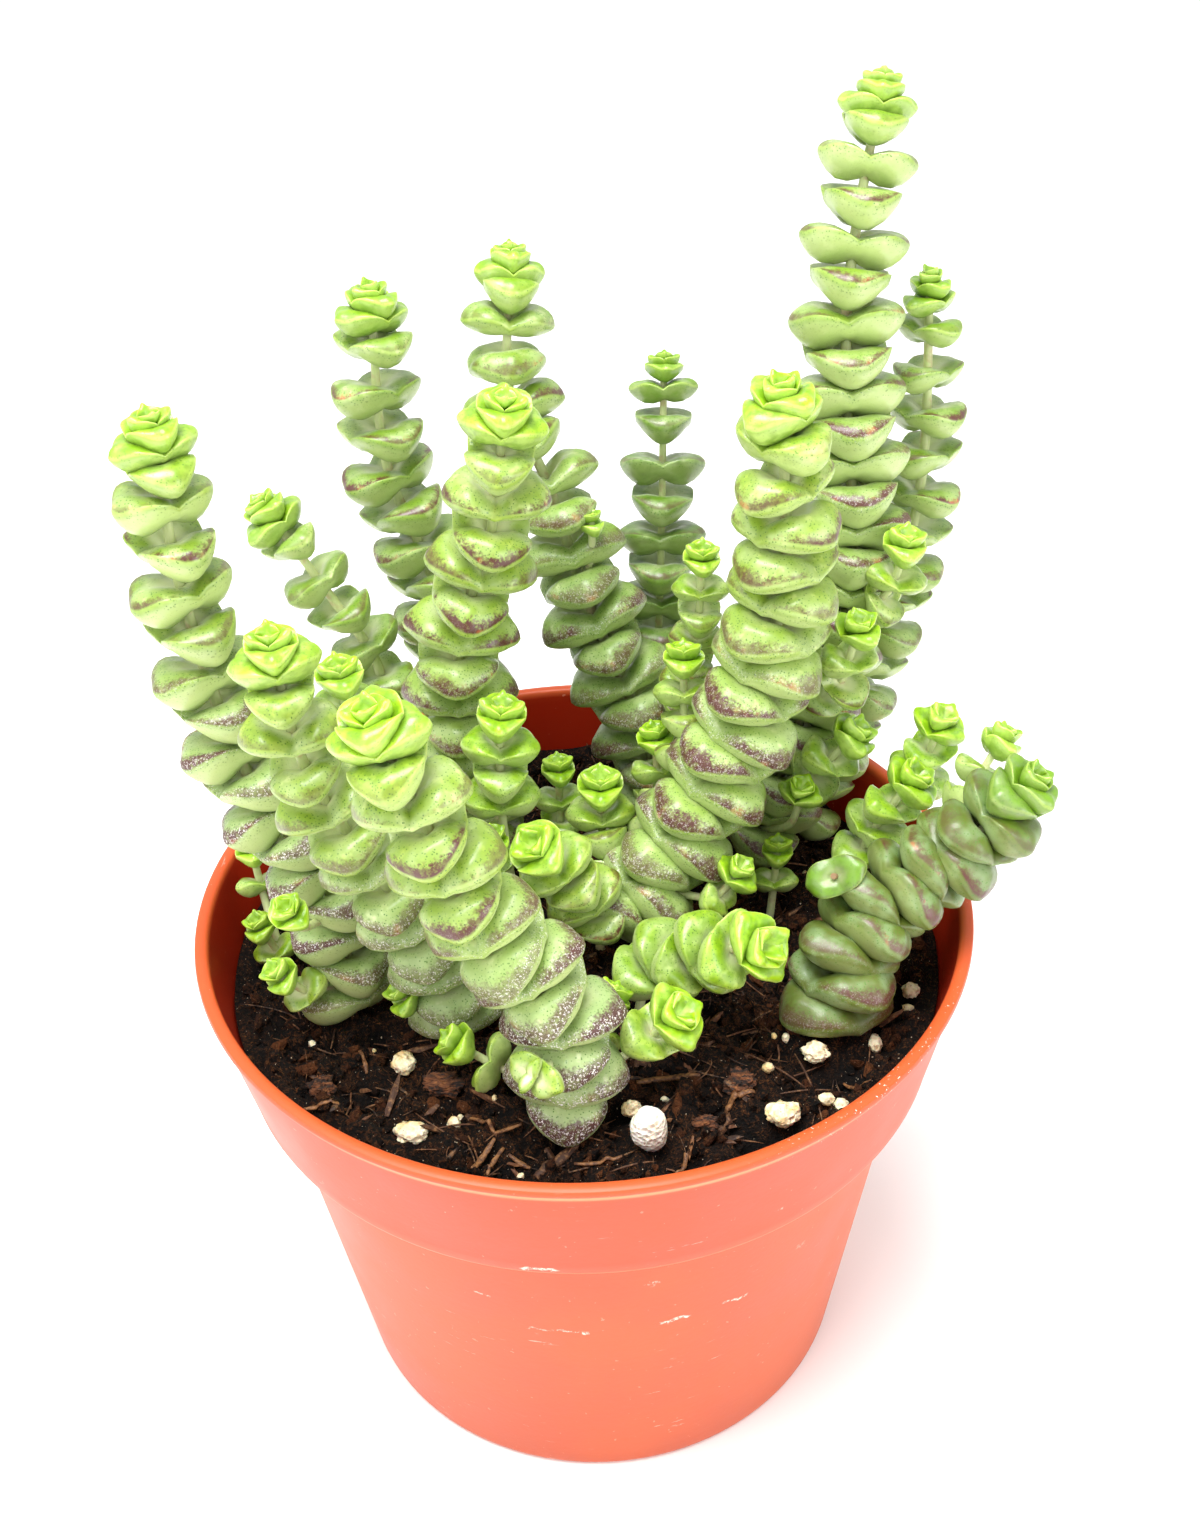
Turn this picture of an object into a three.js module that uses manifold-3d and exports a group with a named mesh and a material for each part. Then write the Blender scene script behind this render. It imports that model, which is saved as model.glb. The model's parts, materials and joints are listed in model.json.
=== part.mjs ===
// Potted baby necklace crassula: leafy stems standing in soil in a tapered plastic nursery pot.
// Millimetres, +Z up. The origin is the centre of the pot's underside.
import * as THREE from 'three';
import { mergeVertices } from 'three/addons/utils/BufferGeometryUtils.js';
import Module from 'manifold-3d';

const wasm = await Module();
wasm.setup();

// Driving dimensions of the pot
const rimRadius = 54;
const potHeight = 79;
const bandHeight = 20;
const bandFootRadius = 49.7;
const bodyTopRadius = 46.2;
const baseRadius = 38.1;
const wall = 1.3;
const lipWidth = 1.8;
const floorThickness = 2;
const footChamfer = 1.4;
const lipHeight = 1.6;
const lipOverhang = 0.7;
const lipRounding = 0.4;
const stepRise = 2;
const innerStepLift = 0.9;
const potSegments = 32;
const notchCount = 4;
const notchWidth = 13;
const notchHeight = 1.6;
const notchDepth = 3;
const firstNotchAngle = 247;
const drainHoleRadius = 3;
const drainHoleCircle = 20;

// Driving dimensions of the soil and what lies on it
const soilLevel = 69;
const clearance = 0.3;
const soilSegments = 22;
const soilRings = 4;
const soilRelief = 0.9;
const stemSink = 5;
const holeSides = 5;
const holeClearance = 0.6;
const grainUnevenness = 0.34;

// Driving dimensions of the leaves, as shares of a pair's length from tip to tip
const stemRadius = 0.9;
const pairThickness = 0.3;
const undersideDrop = 0.5;
const topRise = 0.2;
const shoulderShare = 0.8;
const shoulderRise = 0.4;
const openMargin = -0.04;
const cuppedMargin = 0.1;
const rosetteSteps = [1, 2.3, 4.2, 7.8];
const rosettePairs = 3;
const shootSteps = [1.1, 2.7];
const budRise = 0.9;
const budFoot = 0.15;
const budNarrowing = 0.9;
const nodeSwell = 1.1;
const openInternode = 6.1;
const closeInternode = 5.2;
const crowdedBelow = 55;
const youngShare = 0.66;
const youngLength = 1.6;
const slowLength = 22;
const shootYoungShare = 0.95;
const shootYoungLength = 1.3;
const shootInternode = 4.3;
const shootPairs = 3;
const shootThickness = 0.34;
const shootRadius = 0.85;
const rootStep = 0.5;
const longestWaist = 3.3;
const shortestStalk = 0.25;
const lowestPair = 2.4;
const turnWobble = 10;
const rosetteNarrowing = 0.88;
const oldCup = 0.14;
const youngCup = 0.42;
const youngCupLength = 5;

const toRadians = THREE.MathUtils.degToRad;
const xAxis = new THREE.Vector3(1, 0, 0);
const yAxis = new THREE.Vector3(0, 1, 0);
const zAxis = new THREE.Vector3(0, 0, 1);

const colours = {
  pot: 0xe4705a,
  soil: 0x2b1a12,
  leaf: 0x8fb86a,
  shoot: 0xa9d648,
  perlite: 0xe9e1d0,
  bark: 0x5a3522,
};

function material(colour, roughness) {
  return new THREE.MeshStandardMaterial({ color: colour, roughness, metalness: 0 });
}

// A small seeded generator, so that every build draws the same numbers
function seeded(seed) {
  let state = seed;
  return () => {
    state = (state * 1664525 + 1013904223) % 4294967296;
    return state / 4294967296;
  };
}

function toSolid(geometry) {
  const bare = geometry.clone();
  bare.deleteAttribute('normal');
  bare.deleteAttribute('uv');
  const merged = mergeVertices(bare, 1e-4);
  const mesh = new wasm.Mesh({
    numProp: 3,
    vertProperties: new Float32Array(merged.attributes.position.array),
    triVerts: new Uint32Array(merged.index.array),
  });
  return new wasm.Manifold(mesh);
}

function toGeometry(solid) {
  const mesh = solid.getMesh();
  const geometry = new THREE.BufferGeometry();
  geometry.setAttribute('position', new THREE.BufferAttribute(new Float32Array(mesh.vertProperties), 3));
  geometry.setIndex(new THREE.BufferAttribute(new Uint32Array(mesh.triVerts), 1));
  return geometry;
}

function indexedGeometry(points, triangles) {
  const geometry = new THREE.BufferGeometry();
  const flat = points.flatMap((point) => [point.x, point.y, point.z]);
  geometry.setAttribute('position', new THREE.Float32BufferAttribute(flat, 3));
  geometry.setIndex(triangles);
  return geometry;
}

// Joins rings of equal point counts into one closed skin, with a flat foot and a pointed top
function loftRings(rings, apex) {
  const sides = rings[0].length;
  const points = rings.flat();
  const triangles = [];
  for (let ring = 0; ring < rings.length - 1; ring += 1) {
    for (let side = 0; side < sides; side += 1) {
      const next = (side + 1) % sides;
      const low = ring * sides;
      const high = low + sides;
      triangles.push(low + side, low + next, high + next);
      triangles.push(low + side, high + next, high + side);
    }
  }
  const last = (rings.length - 1) * sides;
  const top = points.length;
  points.push(apex);
  for (let side = 0; side < sides; side += 1) {
    triangles.push(last + side, last + ((side + 1) % sides), top);
  }
  for (let side = 1; side < sides - 1; side += 1) {
    triangles.push(0, side + 1, side);
  }
  return indexedGeometry(points, triangles);
}

// Plan outline of a leaf pair in shares of half its length: two blunt leaves that meet at a notch
const corner = [[1, 0], [0.62, 0.66], [0, 0.72]];
const ringSides = 8;
const quarter = ringSides / 4;

function outlinePoint(index) {
  const turn = Math.floor(index / quarter) % 4;
  const step = index % quarter;
  if (turn === 0) return corner[step];
  if (turn === 1) return [-corner[quarter - step][0], corner[quarter - step][1]];
  if (turn === 2) return [-corner[step][0], -corner[step][1]];
  return [corner[quarter - step][0], -corner[quarter - step][1]];
}

// A curve through the points of a stem, with a frame at any distance along it
function stemLine(path) {
  const points = path.map((point) => new THREE.Vector3(...point));
  const curve = new THREE.CatmullRomCurve3(points, false, 'centripetal');
  const length = curve.getLength();
  return {
    length,
    at(distance) {
      const share = THREE.MathUtils.clamp(distance / length, 0, 1);
      const centre = curve.getPointAt(share);
      const axis = curve.getTangentAt(share);
      centre.addScaledVector(axis, distance - share * length);
      const across = xAxis.clone();
      across.addScaledVector(axis, -across.dot(axis)).normalize();
      return { centre, axis, across, aside: new THREE.Vector3().crossVectors(axis, across) };
    },
  };
}

// One ring round the stem; point 0 keeps its side of the stem from pair to pair, so the skin never twists
function ringAt(frame, turn, place) {
  const ring = [];
  for (let index = 0; index < ringSides; index += 1) {
    const shifted = (index + quarter * (4 - (turn.quarters % 4))) % ringSides;
    const [x, y, rise] = place(outlinePoint(shifted));
    const angle = toRadians(turn.degrees + 90 * turn.quarters);
    const u = x * Math.cos(angle) - y * Math.sin(angle);
    const v = x * Math.sin(angle) + y * Math.cos(angle);
    const point = frame.centre.clone();
    point.addScaledVector(frame.across, u);
    point.addScaledVector(frame.aside, v);
    point.addScaledVector(frame.axis, rise);
    ring.push(point);
  }
  return ring;
}

// How far a pair's tips rise above its middle, as a share of its thickness: young pairs are cups
function cupAt(age) {
  return oldCup + youngCup * Math.exp(-age / youngCupLength);
}

// Where the leaf pairs sit, counted from the tip down, and how long each is. Age is the distance
// below the growing tip, or below where that tip was before it was lost.
function pairPlaces(stem, length) {
  const places = [];
  const random = seeded(stem.seed);
  const lowest = stem.bare ?? lowestPair;
  const steps = stem.steps ?? (stem.small ? shootSteps : rosetteSteps);
  const young = stem.young ?? (stem.small ? shootYoungShare : youngShare);
  const youngReach = stem.small ? shootYoungLength : youngLength;
  const most = stem.pairs ?? (stem.small ? shootPairs : Infinity);
  let below = 0;
  for (let index = 0; length - below > lowest && index < most; index += 1) {
    if (index < steps.length) {
      below = steps[index];
    } else if (stem.small) {
      below += shootInternode * (stem.spacing ?? 1);
    } else {
      const share = Math.min(1, below / crowdedBelow);
      below += THREE.MathUtils.lerp(openInternode, closeInternode, share) * (stem.spacing ?? 1);
    }
    const age = below + (stem.lost ?? 0);
    const grown =
      young * (1 - Math.exp(-age / youngReach)) + (1 - young) * (1 - Math.exp(-age / slowLength));
    const along = length - below;
    if (along > lowest) {
      places.push({
        along,
        length: stem.leaf * grown,
        quarters: index,
        cup: cupAt(age),
        wobble: (random() - 0.5) * turnWobble,
        inRosette: !stem.lost && index < (stem.small ? steps.length : rosettePairs),
      });
    }
  }
  return places.reverse();
}

// One leafy stem: waist, margin and shoulder rings for every pair of leaves, and a bud on top
function leafyStem(stem) {
  const radius = stem.inSoil ? stemRadius : shootRadius;
  const line = stemLine(stem.path);
  const pairs = pairPlaces(stem, line.length);
  const turnOf = (pair) => ({ quarters: pair.quarters, degrees: stem.turn + pair.wobble });
  const roundRing = (frame, pair, share) =>
    ringAt(frame, turnOf(pair), ([x, y]) => {
      const size = (radius * share) / Math.hypot(x, y);
      return [x * size, y * size, 0];
    });
  const waist = (pair, distance, share) => roundRing(line.at(distance), pair, share);
  const rings = [];
  if (stem.inSoil) {
    const upright = { axis: zAxis, across: xAxis, aside: yAxis };
    const start = line.at(0).centre;
    const sunk = start.clone().addScaledVector(zAxis, -stemSink);
    rings.push(roundRing({ ...upright, centre: sunk }, pairs[0], 1));
    rings.push(roundRing({ ...upright, centre: start }, pairs[0], 1));
  } else {
    rings.push(waist(pairs[0], 0, 1));
  }
  pairs.forEach((pair, index) => {
    const thick = pair.length * (stem.small ? shootThickness : pairThickness);
    const half = pair.length / 2;
    const lift = pair.cup * thick;
    const width = pair.inRosette ? rosetteNarrowing : 1;
    const leafRing = (share, height) =>
      ringAt(line.at(pair.along), turnOf(pair), ([x, y]) => [
        x * half * share,
        y * half * share * width,
        height * thick + lift * x * x,
      ]);
    const under = pair.along - thick * undersideDrop;
    const over = pair.along + thick * topRise;
    const previous = pairs[index - 1];
    const previousOver = previous ? previous.along + previous.length * pairThickness * topRise : 0;
    if (!previous) {
      rings.push(waist(pair, Math.max(under, shortestStalk), 1));
    } else if (under - previousOver > longestWaist) {
      rings.push(waist(previous, previousOver, nodeSwell));
      rings.push(waist(pair, under, 1));
    } else {
      rings.push(waist(pair, (under + previousOver) / 2, nodeSwell));
    }
    rings.push(leafRing(1, pair.inRosette ? cuppedMargin : openMargin));
    if (!pair.inRosette) rings.push(leafRing(shoulderShare, shoulderRise));
    if (index === pairs.length - 1) rings.push(waist(pair, over + budFoot, budNarrowing));
  });
  const tip = line.at(line.length + (stem.lost ? 0 : budRise));
  return toSolid(loftRings(rings, tip.centre));
}

// The point of a stem's middle line nearest to a place beside it
function nearestOn(line, place) {
  let nearest = line.at(0).centre;
  for (let distance = 0; distance < line.length; distance += rootStep) {
    const point = line.at(distance).centre;
    if (point.distanceTo(place) < nearest.distanceTo(place)) nearest = point;
  }
  return nearest;
}

// A stem with its side shoots, each shoot rooted in the middle of the stem
function spray(stem) {
  const line = stemLine(stem.path);
  return stem.shoots.reduce((solid, shoot) => {
    const root = nearestOn(line, new THREE.Vector3(...shoot.path[0]));
    const path = [root.toArray(), ...shoot.path.slice(1)];
    return solid.add(leafyStem({ ...shoot, path, small: true }));
  }, leafyStem({ ...stem, inSoil: true }));
}

// Main stems from the soil up: points through the middle of the stem, leaf size and first turn
const stems = [
  {
    name: 'stem_front_left', seed: 11, leaf: 16.5, turn: 0, spacing: 0.92, bare: 2.9,
    path: [[-3, -32, 69], [-3, -32, 87], [-12, -34, 105], [-21, -38, 136]],
    shoots: [
      { seed: 111, leaf: 11.5, turn: 30, path: [[-2, -30, 72], [6, -27, 75], [8, -28, 78], [12, -30, 84]] },
      { seed: 112, leaf: 8.5, turn: 0, path: [[-3, -31, 73], [0, -26, 75], [4, -22, 81]] },
      { seed: 113, leaf: 7.5, turn: 60, pairs: 2, path: [[-4, -33, 82], [-5, -39, 84], [-7, -42, 86]] },
      { seed: 114, leaf: 7.5, turn: 10, path: [[-4, -31, 72], [-12, -27, 73], [-18, -26, 77]] },
    ],
  },
  {
    name: 'stem_left_tall', seed: 12, leaf: 15, turn: 5,
    young: 0.74, bare: 6, steps: [1, 2.3, 4, 6.4, 10.8],
    path: [[-33, -11, 69], [-33, -9.5, 87], [-42, -8, 108], [-46, -7, 134], [-46, -7, 156]],
    shoots: [
      { seed: 121, leaf: 8, turn: 20, path: [[-33, -11, 73], [-37, -15, 76], [-41, -17, 82]] },
      { seed: 122, leaf: 8, turn: 50, pairs: 2, path: [[-33, -11, 86], [-36, -18, 90], [-37, -21, 96]] },
    ],
  },
  {
    name: 'stem_left_low', seed: 13, leaf: 14, turn: 10, bare: 3,
    path: [[-17, -14, 69], [-18.5, -16, 79], [-24, -19.5, 97], [-31.5, -22, 118], [-33, -24, 137]],
    shoots: [
      { seed: 131, leaf: 8, turn: 0, path: [[-18, -16, 77], [-22, -18, 76], [-25, -18.5, 79]] },
    ],
  },
  {
    name: 'stem_back_left', seed: 14, leaf: 15.5, turn: 15,
    young: 0.78, spacing: 1.06, bare: 7, steps: [1, 2.3, 4.2, 7.8, 14.6],
    path: [[-16, 35, 69], [-21, 39.5, 108.5], [-26, 41, 126.5], [-26, 43.5, 151]],
    shoots: [],
  },
  {
    name: 'stem_centre', seed: 15, leaf: 17.5, turn: 0, bare: 6, steps: [1, 2.3, 4.2, 8.6],
    path: [[-14, 21, 69], [-16, 18, 108], [-10, 15, 129], [-7, 12, 148]],
    shoots: [],
  },
  {
    name: 'stem_back_centre', seed: 16, leaf: 15, turn: 10,
    bare: 5, steps: [0.9, 2, 3.5, 5.6, 9.6],
    path: [
      [14, 28, 69], [9, 30, 88.5], [2, 32.5, 107.5], [-3, 36, 125], [-7.5, 39, 136.5], [-6.5, 43, 156],
    ],
    shoots: [
      { seed: 161, leaf: 8.5, turn: 0, path: [[12, 29, 80], [17, 22, 104], [18, 20, 122]] },
      { seed: 162, leaf: 6, turn: 20, pairs: 2, path: [[2, 30, 110], [3, 30, 117], [3, 30, 123]] },
    ],
  },
  {
    name: 'stem_left_small', seed: 17, leaf: 12.5, turn: 45, spacing: 1.08, bare: 8,
    path: [[-30, 28, 69], [-29, 29, 99.5], [-33.5, 28.5, 110], [-42.5, 29, 127]],
    shoots: [],
  },
  {
    name: 'stem_back_small', seed: 18, leaf: 13, turn: 0,
    young: 0.74, spacing: 0.92, bare: 12, steps: [1, 2.3, 4.8, 9.6, 16],
    path: [[11.5, 39, 69], [13.5, 44, 111], [14.5, 51, 136.5]],
    shoots: [],
  },
  {
    name: 'stem_right_tall', seed: 19, leaf: 15.5, turn: 0,
    bare: 10, spacing: 0.86, steps: [1, 2.3, 3.8, 6.2, 10.4],
    path: [[24, 16, 69], [33.5, 20, 98.5], [38.5, 23, 117.5], [37.5, 30, 152.5], [41.5, 37, 178.5]],
    shoots: [
      { seed: 191, leaf: 9.5, turn: 0, path: [[37, 19, 110], [43, 17, 116], [45, 16, 125]] },
      { seed: 192, leaf: 9.5, turn: 30, path: [[32, 18, 98], [36, 10, 106], [38, 8, 117]] },
      { seed: 193, leaf: 10.5, turn: 10, path: [[28, 17, 84], [34, 10, 92], [39, 9, 99]] },
      { seed: 194, leaf: 8, turn: 60, pairs: 2, path: [[26, 16, 76], [30, 8, 84], [31, 6, 92]] },
    ],
  },
  {
    name: 'stem_right_back', seed: 20, leaf: 13, turn: 40, bare: 4.4,
    path: [[32, 24, 69], [44, 31, 97.5], [49.5, 33, 122], [49.5, 37, 153]],
    shoots: [],
  },
  {
    name: 'stem_front_right', seed: 21, leaf: 18, turn: 45, bare: 9.5, spacing: 0.94,
    path: [[2, -2, 69], [2.8, -1.6, 72], [10, 2, 80], [21, 4, 100], [27, 4, 123], [26, 2, 153]],
    shoots: [
      { seed: 211, leaf: 9, turn: 0, path: [[15, 2, 88], [15, 12, 100], [15, 14, 110]] },
      { seed: 212, leaf: 8.5, turn: 20, path: [[10, 2, 78], [11, 12, 88], [11, 14, 97]] },
      { seed: 213, leaf: 10.5, turn: 0, path: [[6, 0, 74], [3, 8, 84], [3, 8, 93]] },
      { seed: 214, leaf: 12, turn: 30, path: [[2, -2, 72], [1, -4, 80], [-2, -6, 87], [-6, -9, 95]] },
      { seed: 215, leaf: 8.5, turn: 50, path: [[10, 2, 78], [18, -3, 80], [22, -4, 86]] },
    ],
  },
  {
    name: 'stem_right_low', seed: 22, leaf: 17.5, turn: 30, spacing: 0.7, bare: 3.4,
    path: [
      [33.5, -17.5, 69], [33.8, -17.2, 73], [35, -15.5, 79], [40, -12, 86], [49, -10.5, 92], [58, -12, 105],
    ],
    shoots: [
      {
        seed: 222, leaf: 9, turn: 20, pairs: 1, lost: 9,
        path: [[39, -12, 85], [35, -11, 89], [33, -13.5, 91.5]],
      },
      { seed: 221, leaf: 9, turn: 20, path: [[46, -10, 88], [52, -3, 96], [57, 0, 104]] },
    ],
  },
];

// Young shoots that come up through the soil on stalks of their own
const sprouts = [
  {
    name: 'sprout_front_right', seed: 31, leaf: 13, turn: 40,
    path: [[7, -14, 69], [9, -13, 76], [16, -19, 84], [23, -25, 90]], shoots: [],
  },
  {
    name: 'sprout_centre', seed: 32, leaf: 11.5, turn: 0, pairs: 5,
    path: [[-10, 7, 69], [-11, 7, 91], [-10, 7, 106]],
    shoots: [{ seed: 321, leaf: 7, turn: 30, path: [[-10, 7, 74], [-12, 3, 82], [-12, 2, 89]] }],
  },
  {
    name: 'sprout_middle', seed: 33, leaf: 8, turn: 10,
    path: [[-3, 13, 69], [-3, 14, 92]], shoots: [],
  },
  {
    name: 'sprout_right_inner', seed: 34, leaf: 7.5, turn: 0,
    path: [[27, 5, 69], [28, 6, 82]], shoots: [],
  },
  {
    name: 'sprout_right', seed: 35, leaf: 11, turn: 30, bare: 3,
    path: [[38, 4, 69], [40, 3, 84], [46, 2, 96]],
    shoots: [{ seed: 351, leaf: 10, turn: 50, path: [[39, 4, 78], [47, 8, 90], [50, 7, 102]] }],
  },
  {
    name: 'sprout_left_rim', seed: 36, leaf: 7.5, turn: 0,
    path: [[-43, -1, 69], [-46, -2, 78]],
    shoots: [{ seed: 361, leaf: 7.5, turn: 20, path: [[-43, -1, 70], [-46, 5, 78], [-47, 7, 85]] }],
  },
  {
    name: 'sprout_left_back', seed: 37, leaf: 10, turn: 20, pairs: 6,
    path: [[-25, 6, 69], [-29, 2, 95], [-30, 0, 118]], shoots: [],
  },
];

// Pieces that lie loose on the soil: middle, length, width and height
const grains = [
  { name: 'perlite_front', seed: 3, at: [7.5, -39.3], size: [4.8, 4.2, 6], turn: 10 },
  { name: 'perlite_right', seed: 4, at: [30, -24.7], size: [4.6, 3.6, 3.2], turn: 0 },
  { name: 'perlite_front_right', seed: 5, at: [24.6, -35.5], size: [6, 4, 3.4], turn: 20 },
  { name: 'perlite_left', seed: 6, at: [-24.3, -24.1], size: [3.6, 3.2, 3.2], turn: 30 },
  { name: 'perlite_front_left', seed: 7, at: [-22.8, -35.4], size: [5, 3.4, 2.6], turn: -20 },
  { name: 'perlite_middle', seed: 8, at: [5.4, -33], size: [3, 2.6, 2.6], turn: 0 },
  { name: 'perlite_back_left', seed: 9, at: [-23.5, -7.5], size: [4.6, 3.6, 3], turn: 15 },
  { name: 'perlite_rim', seed: 10, at: [44.6, -12.4], size: [3.2, 3, 2.6], turn: 0 },
  { name: 'bark_left', seed: 11, at: [-35, -26.5], size: [6, 4, 2.6], turn: 60, bark: true },
  { name: 'bark_middle', seed: 12, at: [-18.5, -27.6], size: [7.4, 4.6, 3], turn: 10, bark: true },
  { name: 'bark_right', seed: 13, at: [19.4, -29.6], size: [6, 4.4, 3], turn: -30, bark: true },
  { name: 'bark_front', seed: 14, at: [14.6, -36], size: [5, 3.2, 2.4], turn: 20, bark: true },
];

function lathe(profile, segments) {
  const geometry = new THREE.LatheGeometry(profile.map(([r, z]) => new THREE.Vector2(r, z)), segments);
  geometry.rotateX(Math.PI / 2);
  return geometry;
}

// Inside of the pot wall, from the floor up
const innerWall = [
  [baseRadius - wall, floorThickness],
  [bodyTopRadius - wall, potHeight - bandHeight - stepRise + innerStepLift],
  [bandFootRadius - wall, potHeight - bandHeight + innerStepLift],
  [rimRadius - lipWidth, potHeight],
];

function innerRadius(height) {
  for (let index = 1; index < innerWall.length; index += 1) {
    const [lowRadius, low] = innerWall[index - 1];
    const [highRadius, high] = innerWall[index];
    if (height <= high) {
      return THREE.MathUtils.mapLinear(height, low, high, lowRadius, highRadius);
    }
  }
  return rimRadius - lipWidth;
}

function makePot() {
  const stepFoot = potHeight - bandHeight - stepRise;
  const outside = [
    [0, 0],
    [baseRadius - footChamfer, 0],
    [baseRadius, footChamfer],
    [bodyTopRadius, stepFoot],
    [bandFootRadius, stepFoot + stepRise],
    [rimRadius - lipOverhang, potHeight - lipHeight],
    [rimRadius, potHeight - lipHeight + lipOverhang],
    [rimRadius - lipRounding, potHeight],
  ];
  const inside = innerWall.slice().reverse();
  let pot = toSolid(lathe([...outside, ...inside, [0, floorThickness]], potSegments));
  for (let index = 0; index < notchCount; index += 1) {
    const angle = toRadians(firstNotchAngle + (360 / notchCount) * index);
    const notch = new THREE.BoxGeometry(notchDepth * 2, notchWidth, notchHeight * 2);
    notch.translate(baseRadius, 0, 0);
    notch.rotateZ(angle);
    pot = pot.subtract(toSolid(notch));
    const hole = new THREE.CylinderGeometry(drainHoleRadius, drainHoleRadius, floorThickness * 4, 12);
    hole.rotateX(Math.PI / 2);
    hole.translate(drainHoleCircle, 0, 0);
    hole.rotateZ(angle + Math.PI / notchCount);
    pot = pot.subtract(toSolid(hole));
  }
  return pot;
}

// Height of the soil: low uneven swells
function soilHeight(x, y) {
  const swell = Math.sin(x * 0.16 + 1.1) * Math.cos(y * 0.13 - 0.6);
  const ripple = Math.sin(x * 0.31 - y * 0.27);
  return soilLevel + soilRelief * (0.6 * swell + 0.4 * ripple);
}

function makeSoil(standing) {
  const points = [];
  const triangles = [];
  const ringStart = [];
  const addRing = (place) => {
    ringStart.push(points.length);
    for (let index = 0; index < soilSegments; index += 1) {
      const angle = (2 * Math.PI * index) / soilSegments;
      points.push(place(Math.cos(angle), Math.sin(angle)));
    }
  };
  const shrink = Math.cos(Math.PI / potSegments);
  const floor = floorThickness + clearance;
  const levels = [floor, innerWall[1][1], innerWall[2][1] - clearance * 2];
  levels.forEach((height) => {
    const radius = innerRadius(height) * shrink - clearance * 2;
    addRing((c, s) => new THREE.Vector3(radius * c, radius * s, height));
  });
  for (let ring = 0; ring < soilRings; ring += 1) {
    const radius = (innerRadius(soilLevel) * shrink - clearance * 2) * (1 - ring / soilRings);
    addRing((c, s) => new THREE.Vector3(radius * c, radius * s, soilHeight(radius * c, radius * s)));
  }
  for (let ring = 0; ring < ringStart.length - 1; ring += 1) {
    for (let index = 0; index < soilSegments; index += 1) {
      const next = (index + 1) % soilSegments;
      const low = ringStart[ring];
      const high = ringStart[ring + 1];
      triangles.push(low + index, low + next, high + next);
      triangles.push(low + index, high + next, high + index);
    }
  }
  const bottom = points.length;
  points.push(new THREE.Vector3(0, 0, floor));
  const middle = points.length;
  points.push(new THREE.Vector3(0, 0, soilHeight(0, 0)));
  const last = ringStart[ringStart.length - 1];
  for (let index = 0; index < soilSegments; index += 1) {
    const next = (index + 1) % soilSegments;
    triangles.push(bottom, next, index);
    triangles.push(last + index, last + next, middle);
  }
  let soil = toSolid(indexedGeometry(points, triangles));
  standing.forEach((stem) => {
    const radius = stemRadius + holeClearance;
    const depth = stemSink + 4 * clearance;
    const hole = new THREE.CylinderGeometry(radius, radius, 2 * depth, holeSides);
    hole.rotateX(Math.PI / 2);
    hole.translate(stem.path[0][0], stem.path[0][1], soilLevel);
    soil = soil.subtract(toSolid(hole));
  });
  return soil;
}

// A lumpy grain set down on the soil under it
function makeGrain(grain, soilMesh) {
  const random = seeded(grain.seed);
  const round = new THREE.IcosahedronGeometry(0.5, 0);
  round.deleteAttribute('normal');
  round.deleteAttribute('uv');
  const lump = mergeVertices(round, 1e-4);
  const place = lump.attributes.position;
  for (let index = 0; index < place.count; index += 1) {
    const swell = 1 + grainUnevenness * (random() - 0.5);
    place.setXYZ(index, place.getX(index) * swell, place.getY(index) * swell, place.getZ(index) * swell);
  }
  lump.scale(...grain.size);
  lump.rotateZ(toRadians(grain.turn));
  lump.translate(grain.at[0], grain.at[1], 0);
  let lift = -Infinity;
  for (let index = 0; index < place.count; index += 1) {
    const above = new THREE.Vector3(place.getX(index), place.getY(index), potHeight);
    const ray = new THREE.Raycaster(above, zAxis.clone().negate());
    const ground = ray.intersectObject(soilMesh)[0].point.z;
    lift = Math.max(lift, ground - place.getZ(index));
  }
  lump.translate(0, 0, lift + clearance);
  return toSolid(lump);
}

const plant = [...stems, ...sprouts];
const group = new THREE.Group();

function addMesh(name, solid, colour, roughness) {
  const mesh = new THREE.Mesh(toGeometry(solid), material(colour, roughness));
  mesh.name = name;
  group.add(mesh);
  return mesh;
}

addMesh('pot', makePot(), colours.pot, 0.5);
const soilMesh = addMesh('soil', makeSoil(plant), colours.soil, 0.95);
plant.forEach((stem, index) => {
  const small = index >= stems.length;
  addMesh(stem.name, spray({ ...stem, small }), small ? colours.shoot : colours.leaf, 0.6);
});

grains.forEach((grain) => {
  const colour = grain.bark ? colours.bark : colours.perlite;
  addMesh(grain.name, makeGrain(grain, soilMesh), colour, 0.9);
});

export default group;
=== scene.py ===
import json
import math
import random

import bpy
import numpy as np
from mathutils import Matrix, Vector, noise
from mathutils.bvhtree import BVHTree

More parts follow.
